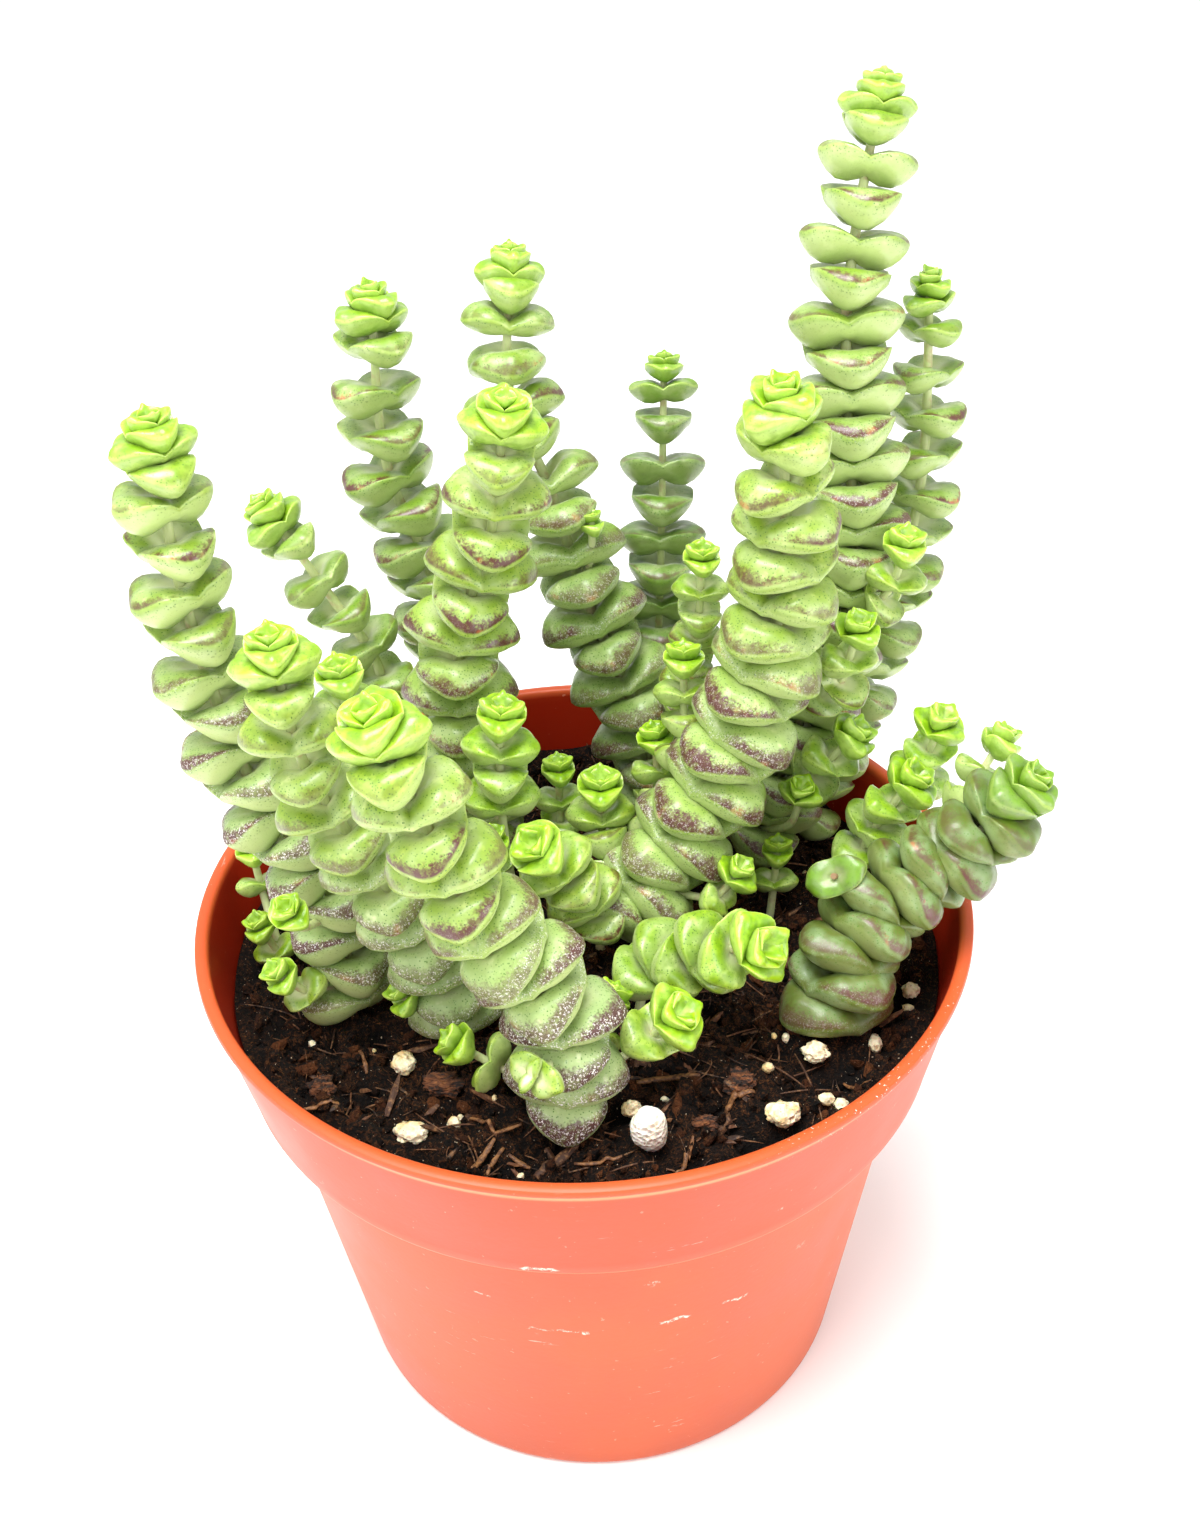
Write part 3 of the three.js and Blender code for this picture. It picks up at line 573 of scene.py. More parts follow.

# stems of the plant: points up their middle, leaf size, first turn, and the look of their leaves, with
# painted shade on the stems at the back and in shadow
stems = {
    "stem_front_left": {
        "seed": 11, "leaf": 16.5, "turn": 0, "young": 0.72, "spacing": 0.92, "bare": 2.9, "lowPair": 1.6,
        "plump": 1.22, "blush": 0.9, "dust": 1.0,
        "path": [[-3, -32, 69], [-3, -32, 87], [-12, -34, 105], [-21, -38, 136]],
        "shoots": [
            {"seed": 111, "leaf": 11.5, "turn": 30,
             "path": [[-2, -30, 72], [6, -27, 75], [8, -28, 78], [12, -30, 84]]},
            {"seed": 112, "leaf": 8.5, "turn": 0, "path": [[-3, -31, 73], [0, -26, 75], [4, -22, 81]]},
            {"seed": 113, "leaf": 7.5, "turn": 60, "pairs": 2, "slender": 1.3,
             "path": [[-4, -33, 82], [-5, -39, 84], [-7, -42, 86]]},
            {"seed": 114, "leaf": 9, "turn": 10, "path": [[-4, -31, 72], [-12, -27, 73], [-18, -26, 77]]},
        ],
    },
    "stem_left_tall": {
        "seed": 12, "leaf": 15, "turn": 38, "young": 0.74, "bare": 6, "lowPair": 1.6,
        "steps": [1, 2.3, 4, 6.4, 10.8], "plump": 1.1, "roomy": True, "blush": 0.9, "dust": 0.75,
        "tone": 0.25,
        "path": [[-33, -11, 69], [-33, -9.5, 87], [-42, -8, 108], [-46, -7, 134], [-46, -7, 156]],
        "shoots": [
            {"seed": 121, "leaf": 8, "turn": 20, "path": [[-33, -11, 73], [-37, -15, 76], [-41, -17, 82]]},
            {"seed": 122, "leaf": 8, "turn": 50, "pairs": 2,
             "path": [[-33, -11, 86], [-36, -18, 90], [-37, -21, 96]]},
        ],
    },
    "stem_left_low": {
        "seed": 13, "leaf": 14, "turn": 10, "young": 0.78, "bare": 3, "lowPair": 1.4, "plump": 1.15,
        "broad": 1.04, "blush": 0.6, "dust": 0.85, "tone": 0.0,
        "path": [[-17, -14, 69], [-18.5, -16, 79], [-24, -19.5, 97], [-31.5, -22, 118], [-33, -24, 137]],
        "shoots": [
            {"seed": 131, "leaf": 8, "turn": 0, "path": [[-18, -16, 77], [-22, -18, 76], [-25, -18.5, 79]]},
        ],
    },
    "stem_back_left": {
        "seed": 14, "leaf": 15.5, "turn": 42, "young": 0.78, "spacing": 1.06, "bare": 7, "lowPair": 3,
        "steps": [1, 2.3, 4.2, 7.8, 14.6], "broad": 1.05, "roomy": True, "blush": 1.0, "dust": 0.15,
        "tone": 0.55,
        "path": [[-16, 35, 69], [-21, 39.5, 108.5], [-26, 41, 126.5], [-26, 43.5, 151]],
    },
    "stem_centre": {
        "seed": 15, "leaf": 17.5, "turn": 0, "bare": 6, "lowPair": 2.0, "steps": [1, 2.3, 4.2, 8.6],
        "plump": 1.15, "blush": 1.0, "dust": 0.28, "tone": 0.0,
        "path": [[-14, 21, 69], [-16, 18, 108], [-10, 15, 129], [-7, 12, 148]],
    },
    "stem_back_centre": {
        "seed": 16, "leaf": 15, "turn": 10, "bare": 5, "lowPair": 2.5, "steps": [0.9, 2, 3.5, 5.6, 9.6],
        "plump": 1.25, "broad": 1.15, "blush": 0.9, "dust": 0.4, "tone": 0.5,
        "path": [[14, 28, 69], [9, 30, 88.5], [2, 32.5, 107.5], [-3, 36, 125], [-7.5, 39, 136.5],
                 [-6.5, 43, 156]],
        "shoots": [
            {"seed": 161, "leaf": 8.5, "turn": 0, "more": 5,
             "path": [[12, 29, 80], [17, 22, 104], [18, 20, 122]]},
            {"seed": 162, "leaf": 6, "turn": 20, "pairs": 2,
             "path": [[2, 30, 110], [3, 30, 117], [3, 30, 123]]},
        ],
    },
    "stem_left_small": {
        "seed": 17, "leaf": 12.5, "turn": 45, "young": 0.85, "spacing": 1.08, "bare": 8, "lowPair": 3,
        "roomy": True, "blush": 0.5, "dust": 0.1, "tone": 0.6,
        "path": [[-30, 28, 69], [-29, 29, 99.5], [-33.5, 28.5, 110], [-42.5, 29, 127]],
    },
    "stem_back_small": {
        "seed": 18, "leaf": 13, "turn": 0, "young": 0.74, "spacing": 0.92, "bare": 12, "lowPair": 3,
        "steps": [1, 2.3, 4.8, 9.6, 16], "broad": 1.12, "thin": 0.72, "roomy": True, "blush": 0.7,
        "dust": 0.05, "tone": 1.0,
        "path": [[11.5, 39, 69], [13.5, 44, 111], [14.5, 51, 136.5]],
    },
    "stem_right_tall": {
        "seed": 19, "leaf": 15.5, "turn": 0, "spacing": 0.86, "bare": 10, "lowPair": 4,
        "steps": [1, 2.3, 3.8, 6.2, 10.4], "broad": 1.08, "roomy": True, "blush": 1.0, "dust": 0.25,
        "tone": 0.42,
        "path": [[24, 16, 69], [33.5, 20, 98.5], [38.5, 23, 117.5], [37.5, 30, 152.5], [41.5, 37, 178.5]],
        "shoots": [
            {"seed": 191, "leaf": 9.5, "turn": 0, "more": 1,
             "path": [[37, 19, 110], [43, 17, 116], [45, 16, 125]]},
            {"seed": 192, "leaf": 9.5, "turn": 30, "more": 2,
             "path": [[32, 18, 98], [36, 10, 106], [38, 8, 117]]},
            {"seed": 193, "leaf": 10.5, "turn": 10, "more": 1,
             "path": [[28, 17, 84], [34, 10, 92], [39, 9, 99]]},
            {"seed": 194, "leaf": 8, "turn": 60, "pairs": 2,
             "path": [[26, 16, 76], [30, 8, 84], [31, 6, 92]]},
        ],
    },
    "stem_right_back": {
        "seed": 20, "leaf": 13, "turn": 40, "bare": 4.4, "lowPair": 2.0, "broad": 1.08, "roomy": True,
        "blush": 0.9, "dust": 0.1, "tone": 0.6,
        "path": [[32, 24, 69], [44, 31, 97.5], [49.5, 33, 122], [49.5, 37, 153]],
    },
    "stem_front_right": {
        "seed": 21, "leaf": 18, "turn": 45, "spacing": 0.94, "bare": 9.5, "lowPair": 3, "plump": 1.18,
        "blush": 0.95, "dust": 0.42,
        "path": [[2, -2, 69], [2.8, -1.6, 72], [10, 2, 80], [21, 4, 100], [27, 4, 123], [26, 2, 153]],
        "shoots": [
            {"seed": 211, "leaf": 9, "turn": 0, "more": 2,
             "path": [[15, 2, 88], [15, 12, 100], [15, 14, 110]]},
            {"seed": 212, "leaf": 8.5, "turn": 20, "more": 2,
             "path": [[10, 2, 78], [11, 12, 88], [11, 14, 97]]},
            {"seed": 213, "leaf": 10.5, "turn": 0, "more": 2, "path": [[6, 0, 74], [3, 8, 84], [3, 8, 93]]},
            {"seed": 214, "leaf": 12, "turn": 30, "more": 3,
             "path": [[2, -2, 72], [1, -4, 80], [-2, -6, 87], [-6, -9, 95]]},
            {"seed": 215, "leaf": 8.5, "turn": 50, "path": [[10, 2, 78], [18, -3, 80], [22, -4, 86]]},
        ],
    },
    "stem_right_low": {
        "seed": 22, "leaf": 17.5, "turn": 30, "spacing": 0.7, "bare": 3.4, "lowPair": 1.5, "plump": 1.18,
        "broad": 1.04, "blush": 0.85, "dust": 0.25, "tone": 1.45,
        "path": [[33.5, -17.5, 69], [33.8, -17.2, 73], [35, -15.5, 79], [40, -12, 86], [49, -10.5, 92],
                 [58, -12, 105]],
        "shoots": [
            {"seed": 222, "leaf": 9, "turn": 20, "pairs": 1, "lost": 9,
             "path": [[39, -12, 85], [35, -11, 89], [33, -13.5, 91.5]]},
            {"seed": 221, "leaf": 9, "turn": 20, "more": 1,
             "path": [[46, -10, 88], [52, -3, 96], [57, 0, 104]]},
        ],
    },
}

# young shoots that come up through the soil
sprouts = {
    "sprout_front_right": {
        "seed": 31, "leaf": 13, "turn": 40, "more": 4,
        "path": [[7, -14, 69], [9, -13, 76], [16, -19, 84], [23, -25, 90]],
    },
    "sprout_centre": {
        "seed": 32, "leaf": 11.5, "turn": 0, "pairs": 5,
        "path": [[-10, 7, 69], [-11, 7, 91], [-10, 7, 106]],
        "shoots": [
            {"seed": 321, "leaf": 7, "turn": 30, "path": [[-10, 7, 74], [-12, 3, 82], [-12, 2, 89]]},
        ],
    },
    "sprout_middle": {
        "seed": 33, "leaf": 8, "turn": 10, "more": 1,
        "path": [[-3, 13, 69], [-3, 14, 92]],
    },
    "sprout_right_inner": {
        "seed": 34, "leaf": 7.5, "turn": 0,
        "path": [[27, 5, 69], [28, 6, 82]],
    },
    "sprout_right": {
        "seed": 35, "leaf": 11, "turn": 30, "bare": 3, "more": 2,
        "path": [[38, 4, 69], [40, 3, 84], [46, 2, 96]],
        "shoots": [
            {"seed": 351, "leaf": 10, "turn": 50, "more": 1,
             "path": [[39, 4, 78], [47, 8, 90], [50, 7, 102]]},
        ],
    },
    "sprout_left_rim": {
        "seed": 36, "leaf": 7.5, "turn": 0,
        "path": [[-43, -1, 69], [-46, -2, 78]],
        "shoots": [
            {"seed": 361, "leaf": 7.5, "turn": 20, "path": [[-43, -1, 70], [-46, 5, 78], [-47, 7, 85]]},
        ],
    },
    "sprout_left_back": {
        "seed": 37, "leaf": 10, "turn": 20, "pairs": 6,
        "path": [[-25, 6, 69], [-29, 2, 95], [-30, 0, 118]],
    },
}


def growthNumbers(seed):
    # the same run of numbers that turns the solids' leaf pairs
    state = seed
    while True:
        state = (state * 1664525 + 1013904223) % 4294967296
        yield state / 4294967296


def stemLine(path):
    # a smooth curve through the points, as places at even small steps
    points = [Vector(p) for p in path]
    points = [points[0] * 2 - points[1]] + points + [points[-1] * 2 - points[-2]]
    line = []
    for i in range(1, len(points) - 2):
        p = points[i - 1:i + 3]
        gaps = [max((p[k + 1] - p[k]).length ** 0.5, 1e-4) for k in range(3)]
        pulls = [((p[k + 1] - p[k]) / gaps[k] - (p[k + 2] - p[k]) / (gaps[k] + gaps[k + 1])
                  + (p[k + 2] - p[k + 1]) / gaps[k + 1]) * gaps[1] for k in (0, 1)]
        for t in np.arange(0, 1, 0.01):
            line.append(p[1] * (2 * t ** 3 - 3 * t ** 2 + 1) + pulls[0] * (t ** 3 - 2 * t ** 2 + t)
                        + p[2] * (3 * t ** 2 - 2 * t ** 3) + pulls[1] * (t ** 3 - t ** 2))
    line.append(points[-2])
    places = np.array(line)
    lengths = np.concatenate([[0], np.cumsum(np.linalg.norm(np.diff(places, axis=0), axis=1))])
    return places, lengths


def lineAt(line, distance):
    # the place on a stem's line and the way it points there
    places, lengths = line

    def spot(along):
        return Vector([np.interp(along, lengths, places[:, k]) for k in range(3)])

    held = min(max(distance, 0), lengths[-1])
    low, high = max(held - 0.4, 0), min(held + 0.4, lengths[-1])
    axis = (spot(high) - spot(low)).normalized()
    return spot(held) + axis * (distance - held), axis


def pairPlaces(stem, length, small):
    # where the leaf pairs stand on a stem, from the tip down, and how long they are
    g = growth
    numbers = growthNumbers(stem["seed"])
    lowest = min(stem.get("bare", g["lowestPair"]), stem.get("lowPair", 100))
    steps = stem.get("steps", g["shootSteps" if small else "rosetteSteps"])
    young = stem.get("young", g["shootYoung" if small else "young"])
    reach = g["shootYoungReach" if small else "youngReach"]
    most = stem.get("pairs", g["shootPairs"] if small else 1000) + stem.get("more", 0)
    below, index, places = 0, 0, []
    while length - below > lowest and index < most:
        share = min(1, below / g["crowdedBelow"])
        between = g["openInternode"] * (1 - share) + g["closeInternode"] * share
        if small:
            between = g["shootInternode"]
        below = steps[index] if index < len(steps) else below + between * stem.get("spacing", 1)
        age = below + stem.get("lost", 0)
        grown = young * (1 - math.exp(-age / reach)) + (1 - young) * (1 - math.exp(-age / g["slowReach"]))
        if length - below > lowest:
            wobble = (next(numbers) - 0.5) * g["wobble"]
            places.append({"along": length - below, "length": stem["leaf"] * grown, "age": age,
                           "index": index, "wobble": wobble})
        index += 1
    return places


def stageOf(place, small, slender, roomy, chance):
    # which leaf pair shape a pair of that age takes
    if place["index"] < 0:
        return 0
    if slender:
        return 4
    early = [1, 2, 4] if small else [1, 2, 3, 4]
    if place["index"] < len(early) and place["age"] < 9:
        return early[place["index"]]
    if small or roomy:
        return chance.choice([8, 9])
    return chance.choice([5, 6, 7]) if place["age"] > 14 else 5


def addStalk(stem, small, line, inSoil, points, edges, values):
    # the middle line of a stem, with its thickness
    length = line[1][-1]
    lost = "lost" in stem
    thick = (growth["shootRadius"] if small else growth["stalkRadius"]) * stem.get("thin", 1)
    start = -growth["sunk"] if inSoil else 0
    stop = length + (growth["scar"] if lost else -0.6)
    for number, distance in enumerate(np.arange(start, stop, growth["stalkStep"])):
        centre = lineAt(line, distance)[0]
        if distance < 0:
            centre = Vector(stem["path"][0]) + Vector((0, 0, distance))
        points.append(centre * mm)
        slim = math.exp(-(length - distance) / growth["thinOver"])
        radius = thick * (1 - slim) + growth["tipRadius"] * slim
        woody = max(0, 1 - distance / growth["woodyUpTo"]) * (0 if small else 1)
        if lost and length - distance < 2:
            woody, radius = growth["dryStump"]
        values.append({"radius": radius * mm, "woody": woody})
        if number:
            edges.append((len(points) - 2, len(points) - 1))


def risen(age, start, end):
    return min(1, max(0, (age - start) / (end - start)))


def gatherStem(stem, small, look, points, edges, values, chance, inSoil):
    # adds one stem's middle line and the places of its leaf pairs to the lists
    line = stemLine(stem["path"])
    length = line[1][-1]
    lost, slender = "lost" in stem, "slender" in stem
    places = pairPlaces(stem, length, small)
    if not lost and not slender:
        drop, share = growth["shootBud" if small else "bud"]
        first = places[0]
        places.insert(0, dict(first, index=-1, along=length - drop, age=0.4, length=first["length"] * share))
    addStalk(stem, small, line, inSoil, points, edges, values)
    for place in places:
        age = place["age"]
        centre, axis = lineAt(line, place["along"])
        across = Vector((1, 0, 0))
        across = (across - axis * across.dot(axis)).normalized()
        turn = Matrix((across, axis.cross(across), axis)).transposed()
        angle = math.radians(stem["turn"] + place["wobble"] + 90 * place["index"])
        turn = turn @ Matrix.Rotation(angle, 3, "Z")
        for letter in "XY":
            tilt = math.radians(chance.uniform(-growth["tilt"], growth["tilt"]))
            turn = turn @ Matrix.Rotation(tilt, 3, letter)
        half = place["length"] / 2 * mm
        stocky = growth["shootPlump"] if small else look["plump"]
        broad = 1 + (look["broad"] - 1) * min(1, age / growth["broadOver"])
        grown, narrow = 1 - math.exp(-age / growth["oldReach"]), 1.0
        if slender:
            half *= stem["slender"]
            grown, narrow = 0.85, 0.45 if place["index"] == 0 else 0.8
        elif lost:
            grown, narrow = 0.3, 0.82
        points.append(centre * mm)
        values.append({
            "isPair": 1.0, "stage": stageOf(place, small, slender, look["roomy"], chance),
            "turned": turn.to_euler(),
            "size": (half * broad, half * broad * narrow * chance.uniform(0.95, 1.04),
                     half * stocky * chance.uniform(0.95, 1.06)),
            "old": grown * chance.uniform(0.92, 1.05),
            "blush": look["blush"] * risen(age, *growth["blushAges"]) * chance.uniform(0.65, 1.15),
            "dust": look["dust"] * risen(age, *growth["dustAges"]) * chance.uniform(0.75, 1.1),
            # painted shade, stronger on older pairs; the pair of the lost shoot is darkened too
            "tone": 0.95 if lost else look["tone"] * (0.4 + 0.6 * min(1, age / 10)),
        })


def makeLeafyNodes():
    tree, given = newGroup("leafy stem", {
        "Pair Shapes": pairShapes, "Unevenness": 0.0005, "Unevenness Scale": 170.0, "Stalk Sides": 9,
        "Leaf Finish": leafMaterial, "Stalk Finish": stalkMaterial})
    split = addNode(tree, "GeometryNodeSeparateGeometry", {
        "Geometry": given["Geometry"], "Selection": above(tree, named(tree, "isPair"), 0.5)}, domain="POINT")
    pairs = layShapes(tree, split.outputs["Selection"], given["Pair Shapes"],
                      named(tree, "turned", "FLOAT_VECTOR"), named(tree, "size", "FLOAT_VECTOR"),
                      {"Instance Index": named(tree, "stage", "INT")})
    where = tree.nodes.new("GeometryNodeInputPosition").outputs[0]
    swell = addNode(tree, "ShaderNodeTexNoise",
                    {"Vector": where, "Scale": given["Unevenness Scale"], "Detail": 2.0})
    centred = addNode(tree, "ShaderNodeVectorMath", {0: swell.outputs["Color"], 1: (0.5, 0.5, 0.5)},
                      operation="SUBTRACT")
    shift = addNode(tree, "ShaderNodeVectorMath", {0: centred.outputs[0], "Scale": given["Unevenness"]},
                    operation="SCALE")
    uneven = addNode(tree, "GeometryNodeSetPosition",
                     {"Geometry": realized(tree, pairs), "Offset": shift.outputs[0]})
    leaves = painted(tree, uneven.outputs[0], given["Leaf Finish"])
    line = addNode(tree, "GeometryNodeMeshToCurve", {"Mesh": split.outputs["Inverted"]})
    radius = named(tree, "radius")
    sized = addNode(tree, "GeometryNodeSetCurveRadius", {"Curve": line.outputs[0], "Radius": radius})
    ring = addNode(tree, "GeometryNodeCurvePrimitiveCircle",
                   {"Resolution": given["Stalk Sides"], "Radius": 1.0})
    tube = addNode(tree, "GeometryNodeCurveToMesh", {
        "Curve": sized.outputs[0], "Profile Curve": ring.outputs[0], "Fill Caps": True})
    if "Scale" in tube.inputs:
        fill(tube, {"Scale": radius})
    both = joined(tree, painted(tree, tube.outputs[0], given["Stalk Finish"]), leaves)
    smooth = addNode(tree, "GeometryNodeSetShadeSmooth", {"Geometry": both})
    addNode(tree, "NodeGroupOutput", {0: smooth.outputs[0]})
    return tree


leafyNodes = makeLeafyNodes()
plainLook = {"blush": 0.25, "dust": 0.0, "tone": 0.0, "plump": 1.0, "broad": 1.0, "roomy": False}


def makeLeafyStem(name, stem, sprout):
    chance = random.Random(stem["seed"])
    look = {word: stem.get(word, plain) for word, plain in plainLook.items()}
    points, edges, values = [], [], []
    gatherStem(stem, sprout, look, points, edges, values, chance, True)
    parent = stemLine(stem["path"])[0]
    shootLook = dict(look, dust=look["dust"] * 0.3, tone=look["tone"] * 0.3, broad=1.0)
    for shoot in stem.get("shoots", []):
        root = parent[np.argmin(np.linalg.norm(parent - np.array(shoot["path"][0]), axis=1))]
        shoot = dict(shoot, path=[list(root)] + shoot["path"][1:])
        gatherStem(shoot, True, shootLook, points, edges, values, chance, False)
    mesh = bpy.data.meshes.new(name)
    mesh.from_pydata(points, edges, [])
    for key in ("isPair", "radius", "woody", "old", "blush", "dust", "tone"):
        setFloats(mesh, key, [v.get(key, 0.0) for v in values])
    layer = mesh.attributes.new("stage", "INT", "POINT")
    layer.data.foreach_set("value", [v.get("stage", 0) for v in values])
    for key in ("turned", "size"):
        layer = mesh.attributes.new(key, "FLOAT_VECTOR", "POINT")
        layer.data.foreach_set("vector", [number for v in values for number in v.get(key, (0, 0, 0))])
    piece = bpy.data.objects.new("leafy_" + name, mesh)
    scene.collection.objects.link(piece)
    useGroup(piece, leafyNodes, Leaf_Finish=youngMaterial if sprout else leafMaterial)
    makeReal(piece)
    finishPiece(piece, "young_leaf" if sprout else "leaf", name)


for name, stem in stems.items():
    makeLeafyStem(name, stem, False)
for name, stem in sprouts.items():
    makeLeafyStem(name, stem, True)
removeShapes(pairShapes)
print("leafy stems:", len(stems), "young shoots:", len(sprouts))


# pot: a thin wall turned round the middle, with cut-outs in its foot and drain holes

potShape = {
    "rimRadius": 54, "height": 79, "bandHeight": 20, "bandFootRadius": 49.7, "bodyTopRadius": 46.2,
    "baseRadius": 38.1, "wall": 1.3, "lipWidth": 1.8, "floor": 2, "footRounding": 1.4,
    "around": 160, "notches": 4, "notchWidth": 13, "notchHeight": 1.6, "notchDepth": 3,
    "firstNotch": 247, "holeRadius": 3, "holeCircle": 20, "holeSides": 28, "sharpAngle": 38,
}

potLook = {
    "shell": ("ba4c24", "c2562d"),
    "band": "a83812", "bandStarts": (58.5, 61.0),
    "lip": "ca552a", "lipStarts": (76.8, 77.6),
    "paintedHighlight": "f2a06c",       # painted highlight: thin bright lines under the lip and on the step: from, middle, to and strength
    "paintedHighlightLines": [(76.2, 76.9, 77.6, 0.7), (58.3, 58.9, 59.4, 0.3)],
    "grains": "fff2ea",      # small bright specks on the right of the lip: painted glints, with dust
    "inner": "a01a06",       # painted shade with light through the plastic: the inside of the wall deep red
    "scuff": "fbe4d6", "fleck": "f4b49c",
    "aroundScale": 0.05,     # metres of wall for each radian, where a pattern runs round the pot
}
# pale scuffs on the wall: degrees round the pot, height, length, breadth and strength
potScuffs = [
    (-97.9, 59.6, 5.0, 0.55, 1.0), (-99.5, 39.5, 5.5, 0.3, 0.55), (-94.8, 39.5, 2.6, 0.35, 0.8),
    (-92.2, 39.2, 1.2, 1.0, 1.0), (-76.3, 39.7, 5.0, 0.75, 1.0), (-64.8, 39.8, 4.6, 0.7, 0.9),
    (-80.7, 50.0, 2.4, 0.5, 0.6), (-109.8, 46.0, 2.6, 0.6, 0.65), (-51.0, 44.0, 2.0, 0.8, 0.3),
    (-62.4, 64.0, 0.8, 0.6, 0.5),
]


def turned(profile, count):
    # turns a list of radius and height round the Z axis; a radius of 0 closes the shape
    points, rows, faces = [], [], []
    for radius, height in profile:
        if radius == 0:
            rows.append([len(points)] * count)
            points.append((0, 0, height * mm))
            continue
        rows.append(list(range(len(points), len(points) + count)))
        points += [(x * mm, y * mm, height * mm) for x, y in circle(radius, count)]
    for low, high in zip(rows, rows[1:]):
        for i in range(count):
            j = (i + 1) % count
            faces.append(tuple(dict.fromkeys((low[i], low[j], high[j], high[i]))))
    return points, faces


def makePotMaterial():
    look = potLook
    material, tree, shader, place = newMaterial(
        "terracotta coloured plastic", 0.4, Subsurface_Weight=0.08, Subsurface_Scale=0.003,
        Specular_IOR_Level=0.35, Subsurface_Radius=(1.0, 0.28, 0.12))
    x, y, z = addNode(tree, "ShaderNodeSeparateXYZ", {0: place}).outputs
    angle = calc("ARCTAN2", y, x)
    radius = calc("POWER", plus(calc("POWER", x, 2.0), calc("POWER", y, 2.0)), 0.5)
    unrolled = {0: times(angle, look["aroundScale"]), 1: z, 2: radius}
    wrapped = addNode(tree, "ShaderNodeCombineXYZ", unrolled).outputs[0]
    clouds = grain(place, 45.0)
    inside = attribute(tree, "inside")
    outside = minus(1.0, inside)
    skin = layered(
        blend(ramp(clouds, 0.3, 0.7), *look["shell"]),
        (times(ramp(z, *[height * mm for height in look["bandStarts"]]), 0.5), look["band"]),
        (times(ramp(z, *[height * mm for height in look["lipStarts"]]), 0.8), look["lip"]))
    # painted highlight lines on the outside of the wall
    for low, middle, high, strength in look["paintedHighlightLines"]:
        line = times(ramp(z, low * mm, middle * mm), ramp(z, high * mm, middle * mm))
        skin = blend(times(line, outside, strength), skin, look["paintedHighlight"])
    # painted glints: bright specks on the lip, only on its right side
    spot = ramp(grain(place, 2300.0, 2.0, 0.8), 0.67, 0.7)
    side = times(ramp(angle, -1.25, -0.95), ramp(angle, -0.3, -0.7))
    skin = layered(skin, (times(spot, side, ramp(z, 0.0755, 0.0765)), look["grains"]),
                   # painted shade with light through the plastic on the inside of the wall
                   (times(inside, 0.85), look["inner"]))
    # scuffs, and short strokes here and there round the rest of the wall
    scratchy = ramp(grain(place, 2200.0, 3.0, 0.7), 0.42, 0.58)
    ragged = plus(z, ramp(grain(place, 330.0), 0.3, 0.7, -0.0005, 0.0005))
    scuff = None
    for degrees, height, length, breadth, strength in potScuffs:
        along = calc("ABSOLUTE", times(minus(angle, math.radians(degrees)), 0.045))
        across = calc("ABSOLUTE", minus(ragged, height * mm))
        mark = times(ramp(along, length / 2 * mm, length / 3 * mm),
                     ramp(across, breadth * 0.65 * mm, breadth * 0.2 * mm, 0.0, strength))
        scuff = mark if scuff is None else calc("MAXIMUM", scuff, mark)
    stroke = ramp(grain(stretched(wrapped, (0.16, 1.6, 1.0)), 900.0, 4.0, 0.75), 0.64, 0.7)
    where = ramp(grain(wrapped, 60.0, 1.0), 0.56, 0.66, 0.0, 0.6)
    scuff = calc("MAXIMUM", times(scuff, scratchy, outside), times(stroke, where, outside))
    skin = layered(skin, (times(scuff, 0.85), look["scuff"]),
                   (ramp(grain(place, 700.0, 2.0, 0.8), 0.7, 0.74, 0.0, 0.3), look["fleck"]))
    lines = grain(stretched(wrapped, (0.05, 1.0, 1.0)), 700.0, 2.0)
    relief = plus(times(lines, 0.5), grain(place, 1200.0, 2.0), scuff)
    dress(shader, skin, relief, 0.15, 0.0001, plus(times(scuff, 0.35), ramp(clouds, 0.3, 0.7, 0.34, 0.44)))
    return material


def potProfile():
    # radius and height, from the middle of the foot up the outside, over the lip and down the inside
    p = potShape
    rim, top, base, wall, foot = p["rimRadius"], p["height"], p["baseRadius"], p["wall"], p["footRounding"]
    step, bandFoot, bodyTop = top - p["bandHeight"], p["bandFootRadius"], p["bodyTopRadius"]
    lip, floor = p["lipWidth"], p["floor"]
    outside = [(0, 0.0), (12, 0), (24, 0), (34.2, 0), (base - foot, 0)]
    for a in np.radians((25, 45, 65)):
        outside.append((base - foot + foot * math.sin(a), foot - foot * math.cos(a)))
    outside.append((base, foot))
    slope = (bodyTop - base) / (step - 2 - foot)
    outside += [(base + slope * (h - foot), h) for h in np.linspace(3, step - 2.5, 14)]
    outside += [(bodyTop, step - 2.1), (bodyTop + 0.35, step - 1.75), (bandFoot - 0.5, step - 0.45),
                (bandFoot - 0.05, step - 0.05), (bandFoot + 0.15, step + 0.5)]
    slope = (rim - 0.7 - bandFoot) / (top - 1.6 - step)
    outside += [(bandFoot + slope * (h - step), h) for h in np.linspace(step + 2, top - 2.6, 6)]
    outside += [(rim - back, top - down) for back, down in (
        (0.75, 1.75), (0.5, 1.5), (0.12, 1.15), (0, 0.85), (0, 0.45), (0.12, 0.15), (0.4, 0),
        (1.0, -0.04), (lip - 0.3, 0.05), (lip, 0.35))]
    inside = [(rim - lip - 0.15, top - 1.2), (bandFoot - wall + 0.15, step + 1.2),
              (bandFoot - wall, step + 0.6), (bodyTop - wall, step - 1.3), (base - wall + 0.9, floor + 3),
              (base - wall, floor + 0.8), (base - wall - 0.7, floor), (26, floor), (14, floor), (0, floor)]
    return outside, inside


def makeCutter(turn, *ends):
    # a straight block between two outlines
    count = len(ends[0])
    corners = [turn @ Vector(corner) for end in ends for corner in end]
    return meshObject("cutter", corners, band(0, count, count) + caps(0, count, count), smooth=False)


